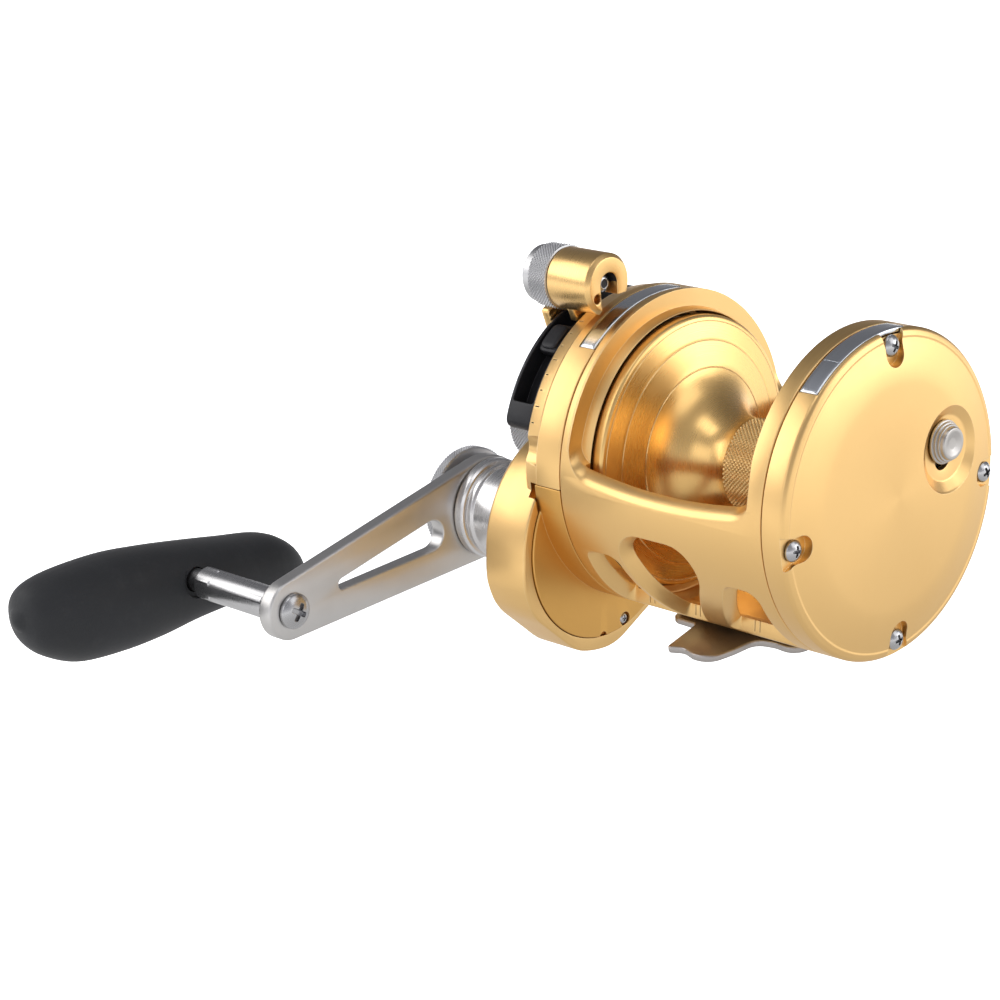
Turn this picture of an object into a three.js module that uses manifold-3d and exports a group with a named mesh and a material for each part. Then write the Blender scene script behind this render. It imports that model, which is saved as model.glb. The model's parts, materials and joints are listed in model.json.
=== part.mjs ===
// Two-speed lever-drag trolling reel, in millimetres.
// x runs along the spool axis: the handle is on the -x side, the tail plate on the +x side.
// -y points to the rod tip and +z points away from the rod. z = 0 is the underside of the foot.

import * as THREE from 'three';
import { mergeVertices } from 'three/addons/utils/BufferGeometryUtils.js';
import Module from 'manifold-3d';

const wasm = await Module();
wasm.setup();

// ---------- driving dimensions ----------

const GAP = 0.3;                    // clearance between neighbouring pieces
const BODY_R = 46;                  // outer radius of frame and side plates
const SEAM_X = 36.3;                // distance of each frame-to-plate seam from the middle
const RING_HOLE_R = 39.9;           // bore of the frame rings
const RING_IN_HANDLE = 30.1;         // inner ends of the two end rings, from the middle
const RING_IN_TAIL = 30.7;          // inner face of the tail-side ring
const SHELL_IN_R = 42.3;            // inside radius of the frame's lower shell
const RING_FACE_X = 33.35;          // flat face of the handle-side ring, round the line opening
const BAR_TOP = 3.3;                // lower edge of the line opening at mid length
const BAR_ARCH = 0.003;             // how quickly that edge rises towards the ends, per millimetre
const FOOT_T = 2;
const FOOT_TOP = -44.2;             // foot top face, measured from the spool axis
const TONGUE_Y = 20.3;              // where each tongue of the foot starts
const TONGUE_STEP = 0.2;            // how much thinner the tongues are
const AXIS_HEIGHT = FOOT_T - FOOT_TOP;

const GEAR_DISTANCE = 31;           // handle shaft to spool axis
const GEAR_ANGLE = 231.5;           // direction of the handle shaft seen from the spool axis
const MODULE_MM = 1;
const TEETH_HIGH = 50;
const TEETH_LOW = 42;
const PINION_HIGH = 2 * GEAR_DISTANCE / MODULE_MM - TEETH_HIGH;
const PINION_LOW = 2 * GEAR_DISTANCE / MODULE_MM - TEETH_LOW;

const SHAFT_R = 3;                  // spool shaft
const CRANK_R = 6;                  // handle shaft
const COVER_R = 29.8;
const COVER_X = -45.2;              // outer face of the gear cover
const COVER_T = 3;
const CASE_R = 33;
const CASE_FLAT = 32.2;             // the case's lower front side is a flat this far from the shaft
const CASE_FLAT_ANGLE = 227;
const CASE_X = -61.8;               // outer face of the gear case wall
const CASE_BOSS_X = -70;
const RIM_X = -50.7;                // outer face of the handle-side plate

const ARM_X = -98;                  // outer face of the handle arm
const ARM_T = 5;
const ARM_LENGTH = 79.5;
const ARM_DROP = 6.6;               // arm end sits lower than level by this angle
const GRIP_X = -147;

const LEVER_ANGLE = 111;            // lever direction at rest, 90 is straight up
const LEVER_REACH = 55.4;
const BARREL_R = 8.8;
const QUADRANT_R = 43.2;
const QUADRANT_END_X = -61.6;
const QUADRANT_FROM = 25;
const QUADRANT_TO = 164;
const STRIKE_ANGLE = 124.7;

const CLICK_Y = 22;                 // clicker button, pushed down in its slot
const CLICK_Z = 9.7;
const CLICK_TRAVEL = 4.8;
const SLOT_R = 3.3;
const DISH_Y = 23.4;
const DISH_Z = 7.5;

const ROUND = 48;                   // facets of the large rounds
const MEDIUM = 22;
const SMALL = 12;
const FLATNESS = 0.015;             // largest step smoothed away when a finished solid is simplified

// ---------- materials ----------

const paint = (color, roughness, metalness) => ({ color, roughness, metalness });
const GOLD = paint(0xe0ab5e, 0.34, 1);
const GOLD_DARK = paint(0xc98f3f, 0.4, 1);
const CHROME = paint(0x9aa6b4, 0.08, 1);
const STEEL = paint(0xb9bcc0, 0.28, 1);
const TITANIUM = paint(0xa39483, 0.42, 1);
const FOOT_GREY = paint(0x8c827a, 0.5, 1);
const BLACK = paint(0x202225, 0.55, 0.2);
const RUBBER = paint(0x23262a, 0.85, 0);
const BRASS = paint(0xb08d57, 0.35, 1);
const CARBON = paint(0x2f3032, 0.8, 0);

// ---------- general helpers ----------

const rad = THREE.MathUtils.degToRad;
const onCircle = (r, deg, y = 0, z = 0) => [y + r * Math.cos(rad(deg)), z + r * Math.sin(rad(deg))];
const [GEAR_Y, GEAR_Z] = onCircle(GEAR_DISTANCE, GEAR_ANGLE);

// Closed solid with shared corners, turned right side out.
function solid(geometry) {
  const bare = geometry.clone();
  bare.deleteAttribute('normal');
  bare.deleteAttribute('uv');
  const merged = mergeVertices(bare, 1e-4);
  const points = merged.attributes.position.array;
  const corners = merged.index.array;
  const kept = [];
  let volume = 0;
  for (let i = 0; i < corners.length; i += 3) {
    const [a, b, c] = [corners[i], corners[i + 1], corners[i + 2]];
    if (a === b || b === c || c === a) continue;
    kept.push(a, b, c);
    const [p, q, r] = [a, b, c].map((k) => new THREE.Vector3().fromArray(points, 3 * k));
    volume += p.dot(q.cross(r));
  }
  if (volume < 0) kept.reverse();
  return new wasm.Manifold(new wasm.Mesh({
    numProp: 3,
    vertProperties: new Float32Array(points),
    triVerts: new Uint32Array(kept),
  }));
}

function geometryOf(body) {
  const mesh = body.simplify(FLATNESS).getMesh();
  const geometry = new THREE.BufferGeometry();
  const stride = mesh.numProp;
  const count = mesh.vertProperties.length / stride;
  const position = new Float32Array(3 * count);
  for (let i = 0; i < count; i += 1) {
    for (let k = 0; k < 3; k += 1) position[3 * i + k] = mesh.vertProperties[stride * i + k];
  }
  geometry.setAttribute('position', new THREE.BufferAttribute(position, 3));
  geometry.setIndex(new THREE.BufferAttribute(new Uint32Array(mesh.triVerts), 1));
  geometry.computeVertexNormals();
  return geometry;
}

const joined = (...bodies) => bodies.reduce((a, b) => a.add(b));
const cut = (body, ...tools) => tools.reduce((a, b) => a.subtract(b), body);

// Body of revolution about the x axis from a profile of [x, radius] points.
function turned(profile, segments = ROUND, y = 0, z = 0) {
  const closed = profile[0][1] > 0 || profile.at(-1)[1] > 0 ? [...profile, profile[0]] : profile;
  const points = closed.map(([x, r]) => new THREE.Vector2(r, x));
  const lathe = new THREE.LatheGeometry(points, segments);
  lathe.rotateZ(-Math.PI / 2);
  lathe.translate(0, y, z);
  return solid(lathe);
}

function disc(r, x0, x1, segments = MEDIUM, y = 0, z = 0) {
  return turned([[x0, 0], [x0, r], [x1, r], [x1, 0]], segments, y, z);
}

function ring(rOut, rIn, x0, x1, segments = SMALL + 4, y = 0, z = 0) {
  return turned([[x0, rIn], [x0, rOut], [x1, rOut], [x1, rIn]], segments, y, z);
}

function block(x0, x1, y0, y1, z0, z1) {
  const box = new THREE.BoxGeometry(x1 - x0, y1 - y0, z1 - z0);
  box.translate((x0 + x1) / 2, (y0 + y1) / 2, (z0 + z1) / 2);
  return solid(box);
}

// Shape drawn in the y-z plane, extruded from x0 to x1.
function alongX(shape, x0, x1, curveSegments = 12) {
  const geometry = new THREE.ExtrudeGeometry(shape, { depth: x1 - x0, bevelEnabled: false, curveSegments });
  const turn = new THREE.Matrix4().makeBasis(
    new THREE.Vector3(0, 1, 0), new THREE.Vector3(0, 0, 1), new THREE.Vector3(1, 0, 0));
  geometry.applyMatrix4(turn);
  geometry.translate(x0, 0, 0);
  return solid(geometry);
}

function polygon(points) {
  return new THREE.Shape(points.map(([u, v]) => new THREE.Vector2(u, v)));
}

// Ring sector in the y-z plane between two angles in degrees.
function sector(rOut, rIn, from, to) {
  const shape = new THREE.Shape();
  shape.absarc(0, 0, rOut, rad(from), rad(to), false);
  shape.absarc(0, 0, rIn, rad(to), rad(from), true);
  return shape;
}

// Corners are [u, v, radius]; the outline is offset outwards by grow, with long edges subdivided.
function roundedOutline(corners, grow, step = 7) {
  const count = corners.length;
  const arcs = corners.map(([u, v, radius], i) => {
    const here = new THREE.Vector2(u, v);
    const [pu, pv] = corners[(i + count - 1) % count];
    const [nu, nv] = corners[(i + 1) % count];
    const back = new THREE.Vector2(pu, pv).sub(here).normalize();
    const ahead = new THREE.Vector2(nu, nv).sub(here).normalize();
    const half = Math.acos(THREE.MathUtils.clamp(back.dot(ahead), -1, 1)) / 2;
    const middle = back.clone().add(ahead).normalize();
    const centre = here.clone().addScaledVector(middle, radius / Math.sin(half));
    const outward = Math.atan2(-middle.y, -middle.x);
    const spread = Math.PI / 2 - half;
    const turnSign = Math.sign(back.cross(ahead));
    const points = [];
    for (let k = 0; k < 4; k += 1) {
      const a = outward + turnSign * spread * (1 - 2 * k / 3);
      points.push(new THREE.Vector2(
        centre.x + (radius + grow) * Math.cos(a), centre.y + (radius + grow) * Math.sin(a)));
    }
    return points;
  });
  const outline = [];
  arcs.forEach((points, i) => {
    outline.push(...points);
    const [u0, v0] = corners[i];
    const [u1, v1] = corners[(i + 1) % count];
    const pieces = Math.ceil(Math.hypot(u1 - u0, v1 - v0) / step);
    const start = points.at(-1);
    const end = arcs[(i + 1) % count][0];
    for (let k = 1; k < pieces; k += 1) outline.push(start.clone().lerp(end, k / pieces));
  });
  return outline;
}

// Solid through matching outlines; place(point, level) gives each point in space.
function lofted(outlines, place) {
  const size = outlines[0].length;
  const positions = outlines.flatMap((outline, level) => outline.flatMap((p) => place(p, level)));
  const index = [];
  for (let level = 0; level + 1 < outlines.length; level += 1) {
    for (let i = 0; i < size; i += 1) {
      const j = (i + 1) % size;
      const [a, b] = [level * size + i, level * size + j];
      index.push(a, b, b + size, a, b + size, a + size);
    }
  }
  const caps = THREE.ShapeUtils.triangulateShape(outlines[0], []);
  const top = (outlines.length - 1) * size;
  const side = THREE.ShapeUtils.isClockWise(outlines[0]) ? -1 : 1;
  for (const face of caps) {
    const [a, b, c] = side > 0 ? face : [face[0], face[2], face[1]];
    const flip = side > 0 ? [c, b, a] : [a, b, c];
    const lid = side > 0 ? [a, b, c] : [c, b, a];
    index.push(...flip);
    index.push(...lid.map((k) => k + top));
  }
  const geometry = new THREE.BufferGeometry();
  geometry.setAttribute('position', new THREE.Float32BufferAttribute(positions, 3));
  geometry.setIndex(index);
  return solid(geometry);
}

const all = new THREE.Group();
all.position.z = AXIS_HEIGHT;

function addMesh(name, body, finish, parent = all) {
  const mesh = new THREE.Mesh(geometryOf(body), new THREE.MeshStandardMaterial(finish));
  mesh.name = name;
  parent.add(mesh);
  return mesh;
}

function group(parent, x, y, z, turnX = 0) {
  const node = new THREE.Group();
  node.position.set(x, y, z);
  node.rotation.x = rad(turnX);
  parent.add(node);
  return node;
}

// ---------- screws ----------

// Pan-head screw along x with its seat at x = 0; head points to +x.
function panScrew(headR, headT, shankR, length) {
  const head = turned([[0, 0], [0, headR], [headT * 0.5, headR], [headT, headR * 0.6], [headT, 0]], SMALL);
  const shank = disc(shankR, -length, 0.05, 8);
  const slot = headR * 0.22;
  const reach = headR * 0.62;
  const floor = headT * 0.4;
  const cross = joined(
    block(floor, headT + 1, -reach, reach, -slot, slot),
    block(floor, headT + 1, -slot, slot, -reach, reach));
  return cut(joined(head, shank), cross);
}

// Countersunk screw along z, head flush with z = 0 and pointing down.
function footScrew() {
  const body = turned([[0, 0], [0, 2.9], [1.6, 1.5], [5.2, 1.5], [5.2, 0]], SMALL);
  const slot = block(-1, 0.7, -2, 2, -0.4, 0.4);
  return cut(body, slot).rotate([0, -90, 0]);
}

// ---------- frame and foot ----------

// Window through the shell, drawn by x and angle, with a bevel that widens outwards.
function shellWindow(corners, bevel) {
  const mmPerDeg = rad(1) * BODY_R;
  const flat = corners.map(([x, deg, radius]) => [x, deg * mmPerDeg, radius]);
  const levels = [[30, -bevel], [SHELL_IN_R - 0.4, -bevel], [BODY_R, 0], [62, 0]];
  const outlines = levels.map(([, grow]) => roundedOutline(flat, grow));
  return lofted(outlines, (p, level) => {
    const [y, z] = onCircle(levels[level][0], p.y / mmPerDeg);
    return [p.x, y, z];
  });
}

// Line opening: a rounded slot along y with an arched lower edge, rounded off at the front and the rear.
// The handle-side ring keeps a low spigot inside it.
function lineOpening() {
  const top = 60;
  const levels = [[-48, 7], [-46, 3.4], [-45, 1.6], [-SHELL_IN_R, 0], [SHELL_IN_R, 0], [45, 1.6], [46, 3.4], [48, 7]];
  const outlines = levels.map(([, grow]) => roundedOutline([
    [grow - RING_FACE_X, BAR_TOP, 5], [RING_IN_TAIL, BAR_TOP, 5], [RING_IN_TAIL, top, 1],
    [grow - RING_FACE_X, top, 1],
  ], grow, 10));
  const tailLimit = RING_IN_TAIL + 0.7;
  const slot = lofted(outlines, (p, level) => [
    Math.min(p.x, tailLimit), levels[level][0], p.y + BAR_ARCH * p.x ** 2]);
  const spigot = turned([
    [-38, 0], [-38, 40.95], [-RING_FACE_X, 40.95], [-RING_IN_HANDLE, 40.25], [-RING_IN_HANDLE, 0],
  ], ROUND);
  return cut(slot, spigot);
}

function frameBody() {
  const w = SEAM_X - GAP / 2;
  const shell = turned([
    [-w, RING_HOLE_R], [-w, BODY_R], [w, BODY_R], [w, RING_HOLE_R],
    [RING_IN_TAIL, RING_HOLE_R], [RING_IN_TAIL, SHELL_IN_R],
    [-RING_IN_HANDLE, SHELL_IN_R], [-RING_IN_HANDLE, RING_HOLE_R],
  ], ROUND);
  const rounding = cut(turned([
    [-RING_FACE_X - 0.85, BODY_R + 0.1], [-RING_FACE_X, BODY_R - 0.75], [-RING_FACE_X + 0.1, BODY_R + 0.1],
  ], ROUND), block(-60, 0, -60, 60, -60, 11));
  const windows = [
    [[-31.5, 204, 3.5], [-20, 203.5, 4.5], [-12.6, 240, 2.5], [-33.5, 240, 2.5]],
    [[-19.8, 191.8, 9], [15.8, 191.8, 9], [-3, 240.5, 2.6], [-12, 240.5, 2.6]],
    [[19.6, 203.2, 4.5], [31, 203.2, 4.5], [31, 238, 2.5], [6, 238, 2.5]],
  ];
  const mirrored = windows.map((corners) => corners.map(([x, deg, r]) => [x, 540 - deg, r]).reverse());
  const cuts = [...windows, ...mirrored].map((corners) => shellWindow(corners, 2.4));
  const pad = block(-22, 21, -11.5, 11.5, FOOT_TOP + GAP, -41);
  const below = block(-29.6, 29.6, -40, 40, -60, FOOT_TOP + GAP);
  const body = cut(shell, lineOpening(), rounding, ...cuts).add(pad);
  const screwHoles = [];
  for (const deg of TAIL_SCREW_ANGLES) {
    const [y, z] = onCircle(TAIL_SCREW_R, deg);
    screwHoles.push(disc(1.8, 30, 40, 12, y, z));
  }
  for (const deg of SIDE_SCREW_ANGLES) {
    const [y, z] = onCircle(SIDE_SCREW_R, deg);
    screwHoles.push(disc(1.8, -40, -31.2, 12, y, z));
  }
  for (const [x, y] of FOOT_SCREWS) {
    screwHoles.push(disc(1.8, 0, 10, 12).rotate([0, -90, 0]).translate([x, y, -50]));
  }
  return cut(body, below, ...screwHoles);
}

const TAIL_SCREW_ANGLES = [88.5, 185, 271, 354];
const TAIL_SCREW_R = 41.6;
const SIDE_SCREW_ANGLES = [12, 342, 312];
const SIDE_SCREW_R = 42.6;
const FOOT_SCREWS = [[-17, -8], [-17, 8], [17, -8], [17, 8]];

function footBody() {
  const front = [
    [-24, -13], [-22.8, -16], [-20, -17.4], [-13.2, -17.6], [-8.2, -34.8], [-7.6, -35.3], [-4, -33.9], [0, -34.6],
    [3.5, -35.4], [6.4, -34], [8, -31], [8.3, -20], [9.4, -17.2], [12, -16], [18, -16.2], [21, -14.5], [22.5, -11],
  ];
  const rear = front.map(([x, y]) => [x, -y]).reverse();
  const shape = polygon([...front, ...rear]);
  const plate = new THREE.ExtrudeGeometry(shape, {
    depth: FOOT_T - 0.8, bevelEnabled: true, bevelThickness: 0.4, bevelSize: 0.4, bevelOffset: -0.4, bevelSegments: 1,
  });
  plate.translate(0, 0, 0.4 - AXIS_HEIGHT);
  const holes = FOOT_SCREWS.map(([x, y]) => turned(
    [[-1, 0], [-1, 3.2], [0.3, 3.2], [1.9, 1.8], [4, 1.8], [4, 0]], SMALL,
  ).rotate([0, -90, 0]).translate([x, y, -AXIS_HEIGHT]));
  const steps = [[-40, -TONGUE_Y], [TONGUE_Y, 40]].map(
    ([y0, y1]) => block(-30, 30, y0, y1, FOOT_TOP - TONGUE_STEP, -40));
  return cut(solid(plate), ...holes, ...steps);
}

function addFrame() {
  addMesh('frame', frameBody(), GOLD);
  addMesh('foot', footBody(), FOOT_GREY);
  FOOT_SCREWS.forEach(([x, y], i) => {
    addMesh(`foot_screw_${i + 1}`, footScrew(), STEEL).position.set(x, y, 0.15 - AXIS_HEIGHT);
  });
}

// ---------- tail plate ----------

// Inlaid strip on a rim; its pocket is the same band, larger by the gap.
const stripBand = (x0, x1, grow) => alongX(
  sector(BODY_R + 0.05 + grow, 44.6 - grow, 80 - 0.4 * grow, 129.5 + 0.4 * grow), x0 - grow, x1 + grow, 12);

const STRIP_FROM = SEAM_X + 0.4;
const STRIP_TO = 42.5;

function tailPlate() {
  const x0 = SEAM_X + GAP / 2;
  const face = [];
  for (const r of [43, 40, 35, 28, 18, 0]) face.push([46.2 - 2.2 * (r / 43) ** 3, r]);
  const plate = turned([
    [x0, 38.5], [x0, BODY_R], [42.6, BODY_R], [43.3, 45.6], [43.9, 44.5], ...face, [42.9, 0], [41.6, 38.5],
  ], ROUND);
  const boss = ring(7, 3.3, 36.6, 43.5, 24);
  const notches = [];
  for (const deg of TAIL_SCREW_ANGLES) {
    const [y, z] = onCircle(TAIL_SCREW_R, deg);
    const [endY, endZ] = onCircle(TAIL_SCREW_R - 1.9, deg);
    const flare = alongX(polygon([[-1.9, -3.7], [0.5, -3.7], [7, -5.6], [7, 5.6], [0.5, 3.7], [-1.9, 3.7]]), 42.7, 50)
      .rotate([deg, 0, 0]).translate([0, y, z]);
    notches.push(disc(3.75, 42.7, 50, MEDIUM, endY, endZ), flare, disc(1.8, 30, 50, 12, y, z));
  }
  const dish = turned([[43.9, 0], [43.9, 9.6], [47.4, 13.4], [47.4, 0]], MEDIUM, DISH_Y, DISH_Z);
  const slotEnd = CLICK_Z - CLICK_TRAVEL;
  const slot = joined(
    block(40, 46, CLICK_Y - SLOT_R, CLICK_Y + SLOT_R, slotEnd, CLICK_Z),
    disc(SLOT_R, 40, 46, SMALL, CLICK_Y, CLICK_Z), disc(SLOT_R, 40, 46, SMALL, CLICK_Y, slotEnd));
  const pocket = stripBand(STRIP_FROM, STRIP_TO, GAP);
  const bore = disc(3.3, 36, 42, 24);
  return cut(joined(plate, boss), bore, dish, slot, pocket, ...notches);
}

function addTail() {
  addMesh('tail_plate', tailPlate(), GOLD);
  addMesh('tail_strip', stripBand(STRIP_FROM, STRIP_TO, 0), CHROME);
  TAIL_SCREW_ANGLES.forEach((deg, i) => {
    const [y, z] = onCircle(TAIL_SCREW_R, deg);
    addMesh(`tail_screw_${i + 1}`, panScrew(2.9, 2, 1.5, 10), STEEL).position.set(43, y, z);
  });
  addMesh('clicker_button', clickerButton(), STEEL).position.set(0, CLICK_Y, CLICK_Z);
  addMesh('clicker_pawl', clickerPawl(), STEEL).position.set(0, CLICK_Y, CLICK_Z);
}

function clickerButton() {
  const profile = [[44.2, 1.6], [44.2, 6.2]];
  for (let i = 0; i < 3; i += 1) profile.push([45 + 0.8 * i, 6.2 - 0.5 * i], [45 + 0.8 * i, 5.7 - 0.5 * i]);
  profile.push([47.6, 4.2], [48, 3.4], [47.4, 0], [45, 0], [45, 1.6]);
  return turned(profile, 20);
}

// Stem through the slot, guide plate behind it and a pin that meets the click gear.
function clickerPawl() {
  const stem = disc(1.3, 40, 44.7, SMALL);
  const plate = block(40, 41.2, -5, 5, -12, 8);
  return joined(stem, plate, disc(1.5, 32, 40.2, SMALL, 2.6, 0));
}

// ---------- handle-side plate, gear case and cover ----------

// Gear case outline: round about the handle shaft, flattened to a blunt V at the lower front.
function caseShape(inset) {
  const points = [];
  for (let deg = 0; deg < 360; deg += 10) {
    let r = CASE_R;
    if (deg > 185 && deg < 275) r = Math.min(CASE_R + 1.1, CASE_FLAT / Math.cos(rad(deg - CASE_FLAT_ANGLE)));
    if (deg >= 275 && deg <= 310) r = CASE_R - 2 * (deg - 275) / 35;
    points.push(onCircle(r - inset, deg, GEAR_Y, GEAR_Z));
  }
  return polygon(points);
}

function sidePlate() {
  const x0 = -SEAM_X - GAP / 2;
  const rim = turned([
    [x0, 40.5], [x0, BODY_R], [-45, BODY_R], [-45.6, 45.8], [RIM_X + 0.5, 45], [RIM_X, 44.4],
    [RIM_X, 0], [-45, 0], [-45, 40.5],
  ], ROUND);
  const drum = alongX(caseShape(0), CASE_X + 1.2, COVER_X - 0.6).add(alongX(caseShape(1), CASE_X, CASE_X + 1.3));
  const cap = turned([
    [-58, 0], [-58, 30.5], [CASE_X, 30.5], [-65.5, 28], [CASE_BOSS_X + 0.8, 22.2], [CASE_BOSS_X, 21],
    [CASE_BOSS_X, 0],
  ], ROUND, GEAR_Y, GEAR_Z);
  const leverRoom = joined(
    alongX(sector(70, 1, 28, 184), -80, CASE_X - 0.2, 16), disc(13.4, -80, CASE_X - 0.2, MEDIUM));
  const spoolBoss = disc(16, CASE_X + 0.4, RIM_X + 1, MEDIUM);
  const gearRoom = disc(COVER_R + GAP, CASE_X + 1.5, -44, ROUND, GEAR_Y, GEAR_Z);
  const pinionRoom = disc(12.3, CASE_X + 1.8, -46, MEDIUM);
  const bearingSeat = disc(10 + GAP, -48.5, -44, MEDIUM);
  const outerSeat = disc(11 + GAP, CASE_BOSS_X + 1.5, CASE_X + 2, MEDIUM, GEAR_Y, GEAR_Z);
  const crankHole = disc(CRANK_R + GAP, -75, -50, SMALL + 4, GEAR_Y, GEAR_Z);
  const shaftHole = disc(SHAFT_R + GAP, -75, -40, SMALL);
  const coverSector = alongX(sector(BODY_R + 0.5, 36, COVER_TOP - 0.4, COVER_END + 0.4), COVER_X - 3.3, -30, 16);
  const [reliefY, reliefZ] = onCircle(49.4, 169.5);
  const relief = disc(5.8, RIM_X - 1, -45.5, MEDIUM, reliefY, reliefZ);
  const pocket = stripBand(-42.1, -36.7, GAP);
  const screwHoles = SIDE_SCREW_ANGLES.flatMap((deg) => {
    const [y, z] = onCircle(SIDE_SCREW_R, deg);
    return [disc(1.8, -60, -30, 12, y, z), disc(3.2, -60, -48.4, SMALL, y, z)];
  });
  for (const [y, z] of COVER_SCREWS) screwHoles.push(disc(1.2, -56, -45, 8, y, z));
  const lugs = COVER_SCREWS.map(([y, z]) => disc(1.9, CASE_X + 0.2, COVER_X - COVER_T - GAP, 8, y, z));
  const pins = DOG_PIVOTS.map(([y, z]) => disc(1.2, CASE_X + 0.2, -58, SMALL, y, z));
  const walls = cut(joined(rim, drum, cut(cap, leverRoom), spoolBoss), gearRoom, pinionRoom);
  const seats = cut(joined(walls, ...lugs, ...pins), bearingSeat, outerSeat, crankHole, shaftHole);
  return cut(seats, coverSector, pocket, relief, ...screwHoles);
}

const COVER_TOP = 181.7;            // rim sector carried by the gear cover
const COVER_END = 262;
const COVER_SCREWS = [283, 5, 105].map((deg) => onCircle(27.9, deg, GEAR_Y, GEAR_Z));
const DOG_PIVOTS = [205, 325].map((deg) => onCircle(21.5, deg, GEAR_Y, GEAR_Z));

function gearCover() {
  const plate = disc(COVER_R, COVER_X - COVER_T, COVER_X, ROUND, GEAR_Y, GEAR_Z);
  const rimPart = alongX(sector(BODY_R, 41, COVER_TOP, COVER_END), COVER_X - 1, -SEAM_X - GAP / 2, 16);
  const holes = COVER_SCREWS.flatMap(([y, z]) => [
    disc(1.2, -50, -40, 8, y, z), disc(2.1, COVER_X - 1.6, -40, SMALL, y, z)]);
  const pocket = disc(9 + GAP, -50, COVER_X - 0.8, MEDIUM, GEAR_Y, GEAR_Z);
  return cut(joined(plate, rimPart), pocket, disc(10 + GAP, -50, -40, MEDIUM), ...holes);
}

function addHandlePlate() {
  addMesh('side_plate', sidePlate(), GOLD);
  addMesh('gear_cover', gearCover(), GOLD_DARK);
  addMesh('side_strip', stripBand(-42.1, -36.7, 0), CHROME);
  SIDE_SCREW_ANGLES.forEach((deg, i) => {
    const [y, z] = onCircle(SIDE_SCREW_R, deg);
    const screw = addMesh(`side_screw_${i + 1}`, panScrew(2.8, 1.8, 1.5, 15), STEEL);
    screw.position.set(-48.7, y, z);
    screw.rotation.z = Math.PI;
  });
  COVER_SCREWS.forEach(([y, z], i) => {
    const screw = addMesh(`cover_screw_${i + 1}`, panScrew(1.8, 1.2, 0.9, 6), STEEL);
    screw.position.set(COVER_X - 1.3, y, z);
  });
  addMesh('shaft_bearing_outer', ring(11, CRANK_R + GAP, -68.2, -63), STEEL).position.set(0, GEAR_Y, GEAR_Z);
  addMesh('shaft_bearing_inner', ring(9, CRANK_R + GAP, -48.4, -46.3), STEEL).position.set(0, GEAR_Y, GEAR_Z);
  addMesh('pinion_bearing', ring(10, 5.9, -48.2, -45.4), STEEL);
}

// ---------- gear train ----------

// Spur gear outline with thinned trapezoid teeth; one tooth is centred on the given angle.
function gearShape(teeth, centreDeg, boreR) {
  const pitchR = MODULE_MM * teeth / 2;
  const shape = new THREE.Shape();
  for (let i = 0; i < teeth; i += 1) {
    const middle = centreDeg + 360 * i / teeth;
    for (const [share, r] of [[-0.27, -1.1], [-0.12, 0.75], [0.12, 0.75], [0.27, -1.1]]) {
      const [u, v] = onCircle(pitchR + MODULE_MM * r, middle + share * 360 / teeth);
      if (shape.curves.length === 0 && i === 0 && share === -0.27) shape.moveTo(u, v);
      else shape.lineTo(u, v);
    }
  }
  const hole = new THREE.Path();
  hole.absarc(0, 0, boreR, 0, 2 * Math.PI, true);
  shape.holes.push(hole);
  return shape;
}

const toSpool = GEAR_ANGLE - 180;
const halfTooth = (teeth) => 180 / teeth;

function ratchetWheel() {
  const teeth = 18;
  const points = [];
  for (let i = 0; i < teeth; i += 1) {
    points.push(onCircle(13.6, 360 * i / teeth), onCircle(11.6, 360 * (i + 0.12) / teeth));
  }
  const shape = polygon(points);
  const hole = new THREE.Path();
  hole.absarc(0, 0, CRANK_R + GAP, 0, 2 * Math.PI, true);
  shape.holes.push(hole);
  return alongX(shape, -59.9, -58.1, 8);
}

function dogBody() {
  const shape = polygon([[-2.8, -2], [-1, -2.9], [2.2, -2.4], [8.2, 4.4], [7, 6], [-1.2, 2.9], [-2.9, 1.4]]);
  return cut(alongX(shape, -59.8, -58.3), disc(1.5, -70, -50, SMALL));
}

function addGears() {
  const crank = group(all, 0, GEAR_Y, GEAR_Z);
  const high = alongX(gearShape(TEETH_HIGH, toSpool, CRANK_R + GAP), -53.3, -49.1, 8);
  const low = alongX(gearShape(TEETH_LOW, toSpool, CRANK_R + GAP), -57.7, -53.7, 8);
  addMesh('main_gear_high', high, STEEL, crank);
  addMesh('main_gear_low', low, STEEL, crank);
  addMesh('ratchet_wheel', ratchetWheel(), STEEL, crank);
  DOG_PIVOTS.forEach(([y, z], i) => {
    const turn = [205, 325][i] + 108;
    const dog = addMesh(`reverse_dog_${i + 1}`, dogBody(), BRASS);
    dog.position.set(0, y, z);
    dog.rotation.x = rad(turn);
  });
  const pinionTurn = GEAR_ANGLE;
  const pinionHigh = gearShape(PINION_HIGH, pinionTurn + halfTooth(PINION_HIGH), SHAFT_R + GAP);
  const pinionLow = gearShape(PINION_LOW, pinionTurn + halfTooth(PINION_LOW), SHAFT_R + GAP);
  addMesh('pinion_high', alongX(pinionHigh, -53.3, -49.1, 8), BRASS);
  addMesh('pinion_low', alongX(pinionLow, -57.7, -53.7, 8), BRASS);
}

// ---------- spool and drag ----------

const SPOOL_FACE = 31;              // outer face of each spool flange
const SPOOL_R = 39.2;
const ARBOR_R = 12.9;
const FILLET_R = 18;                // round between a flange's inner face and the arbor

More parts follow.
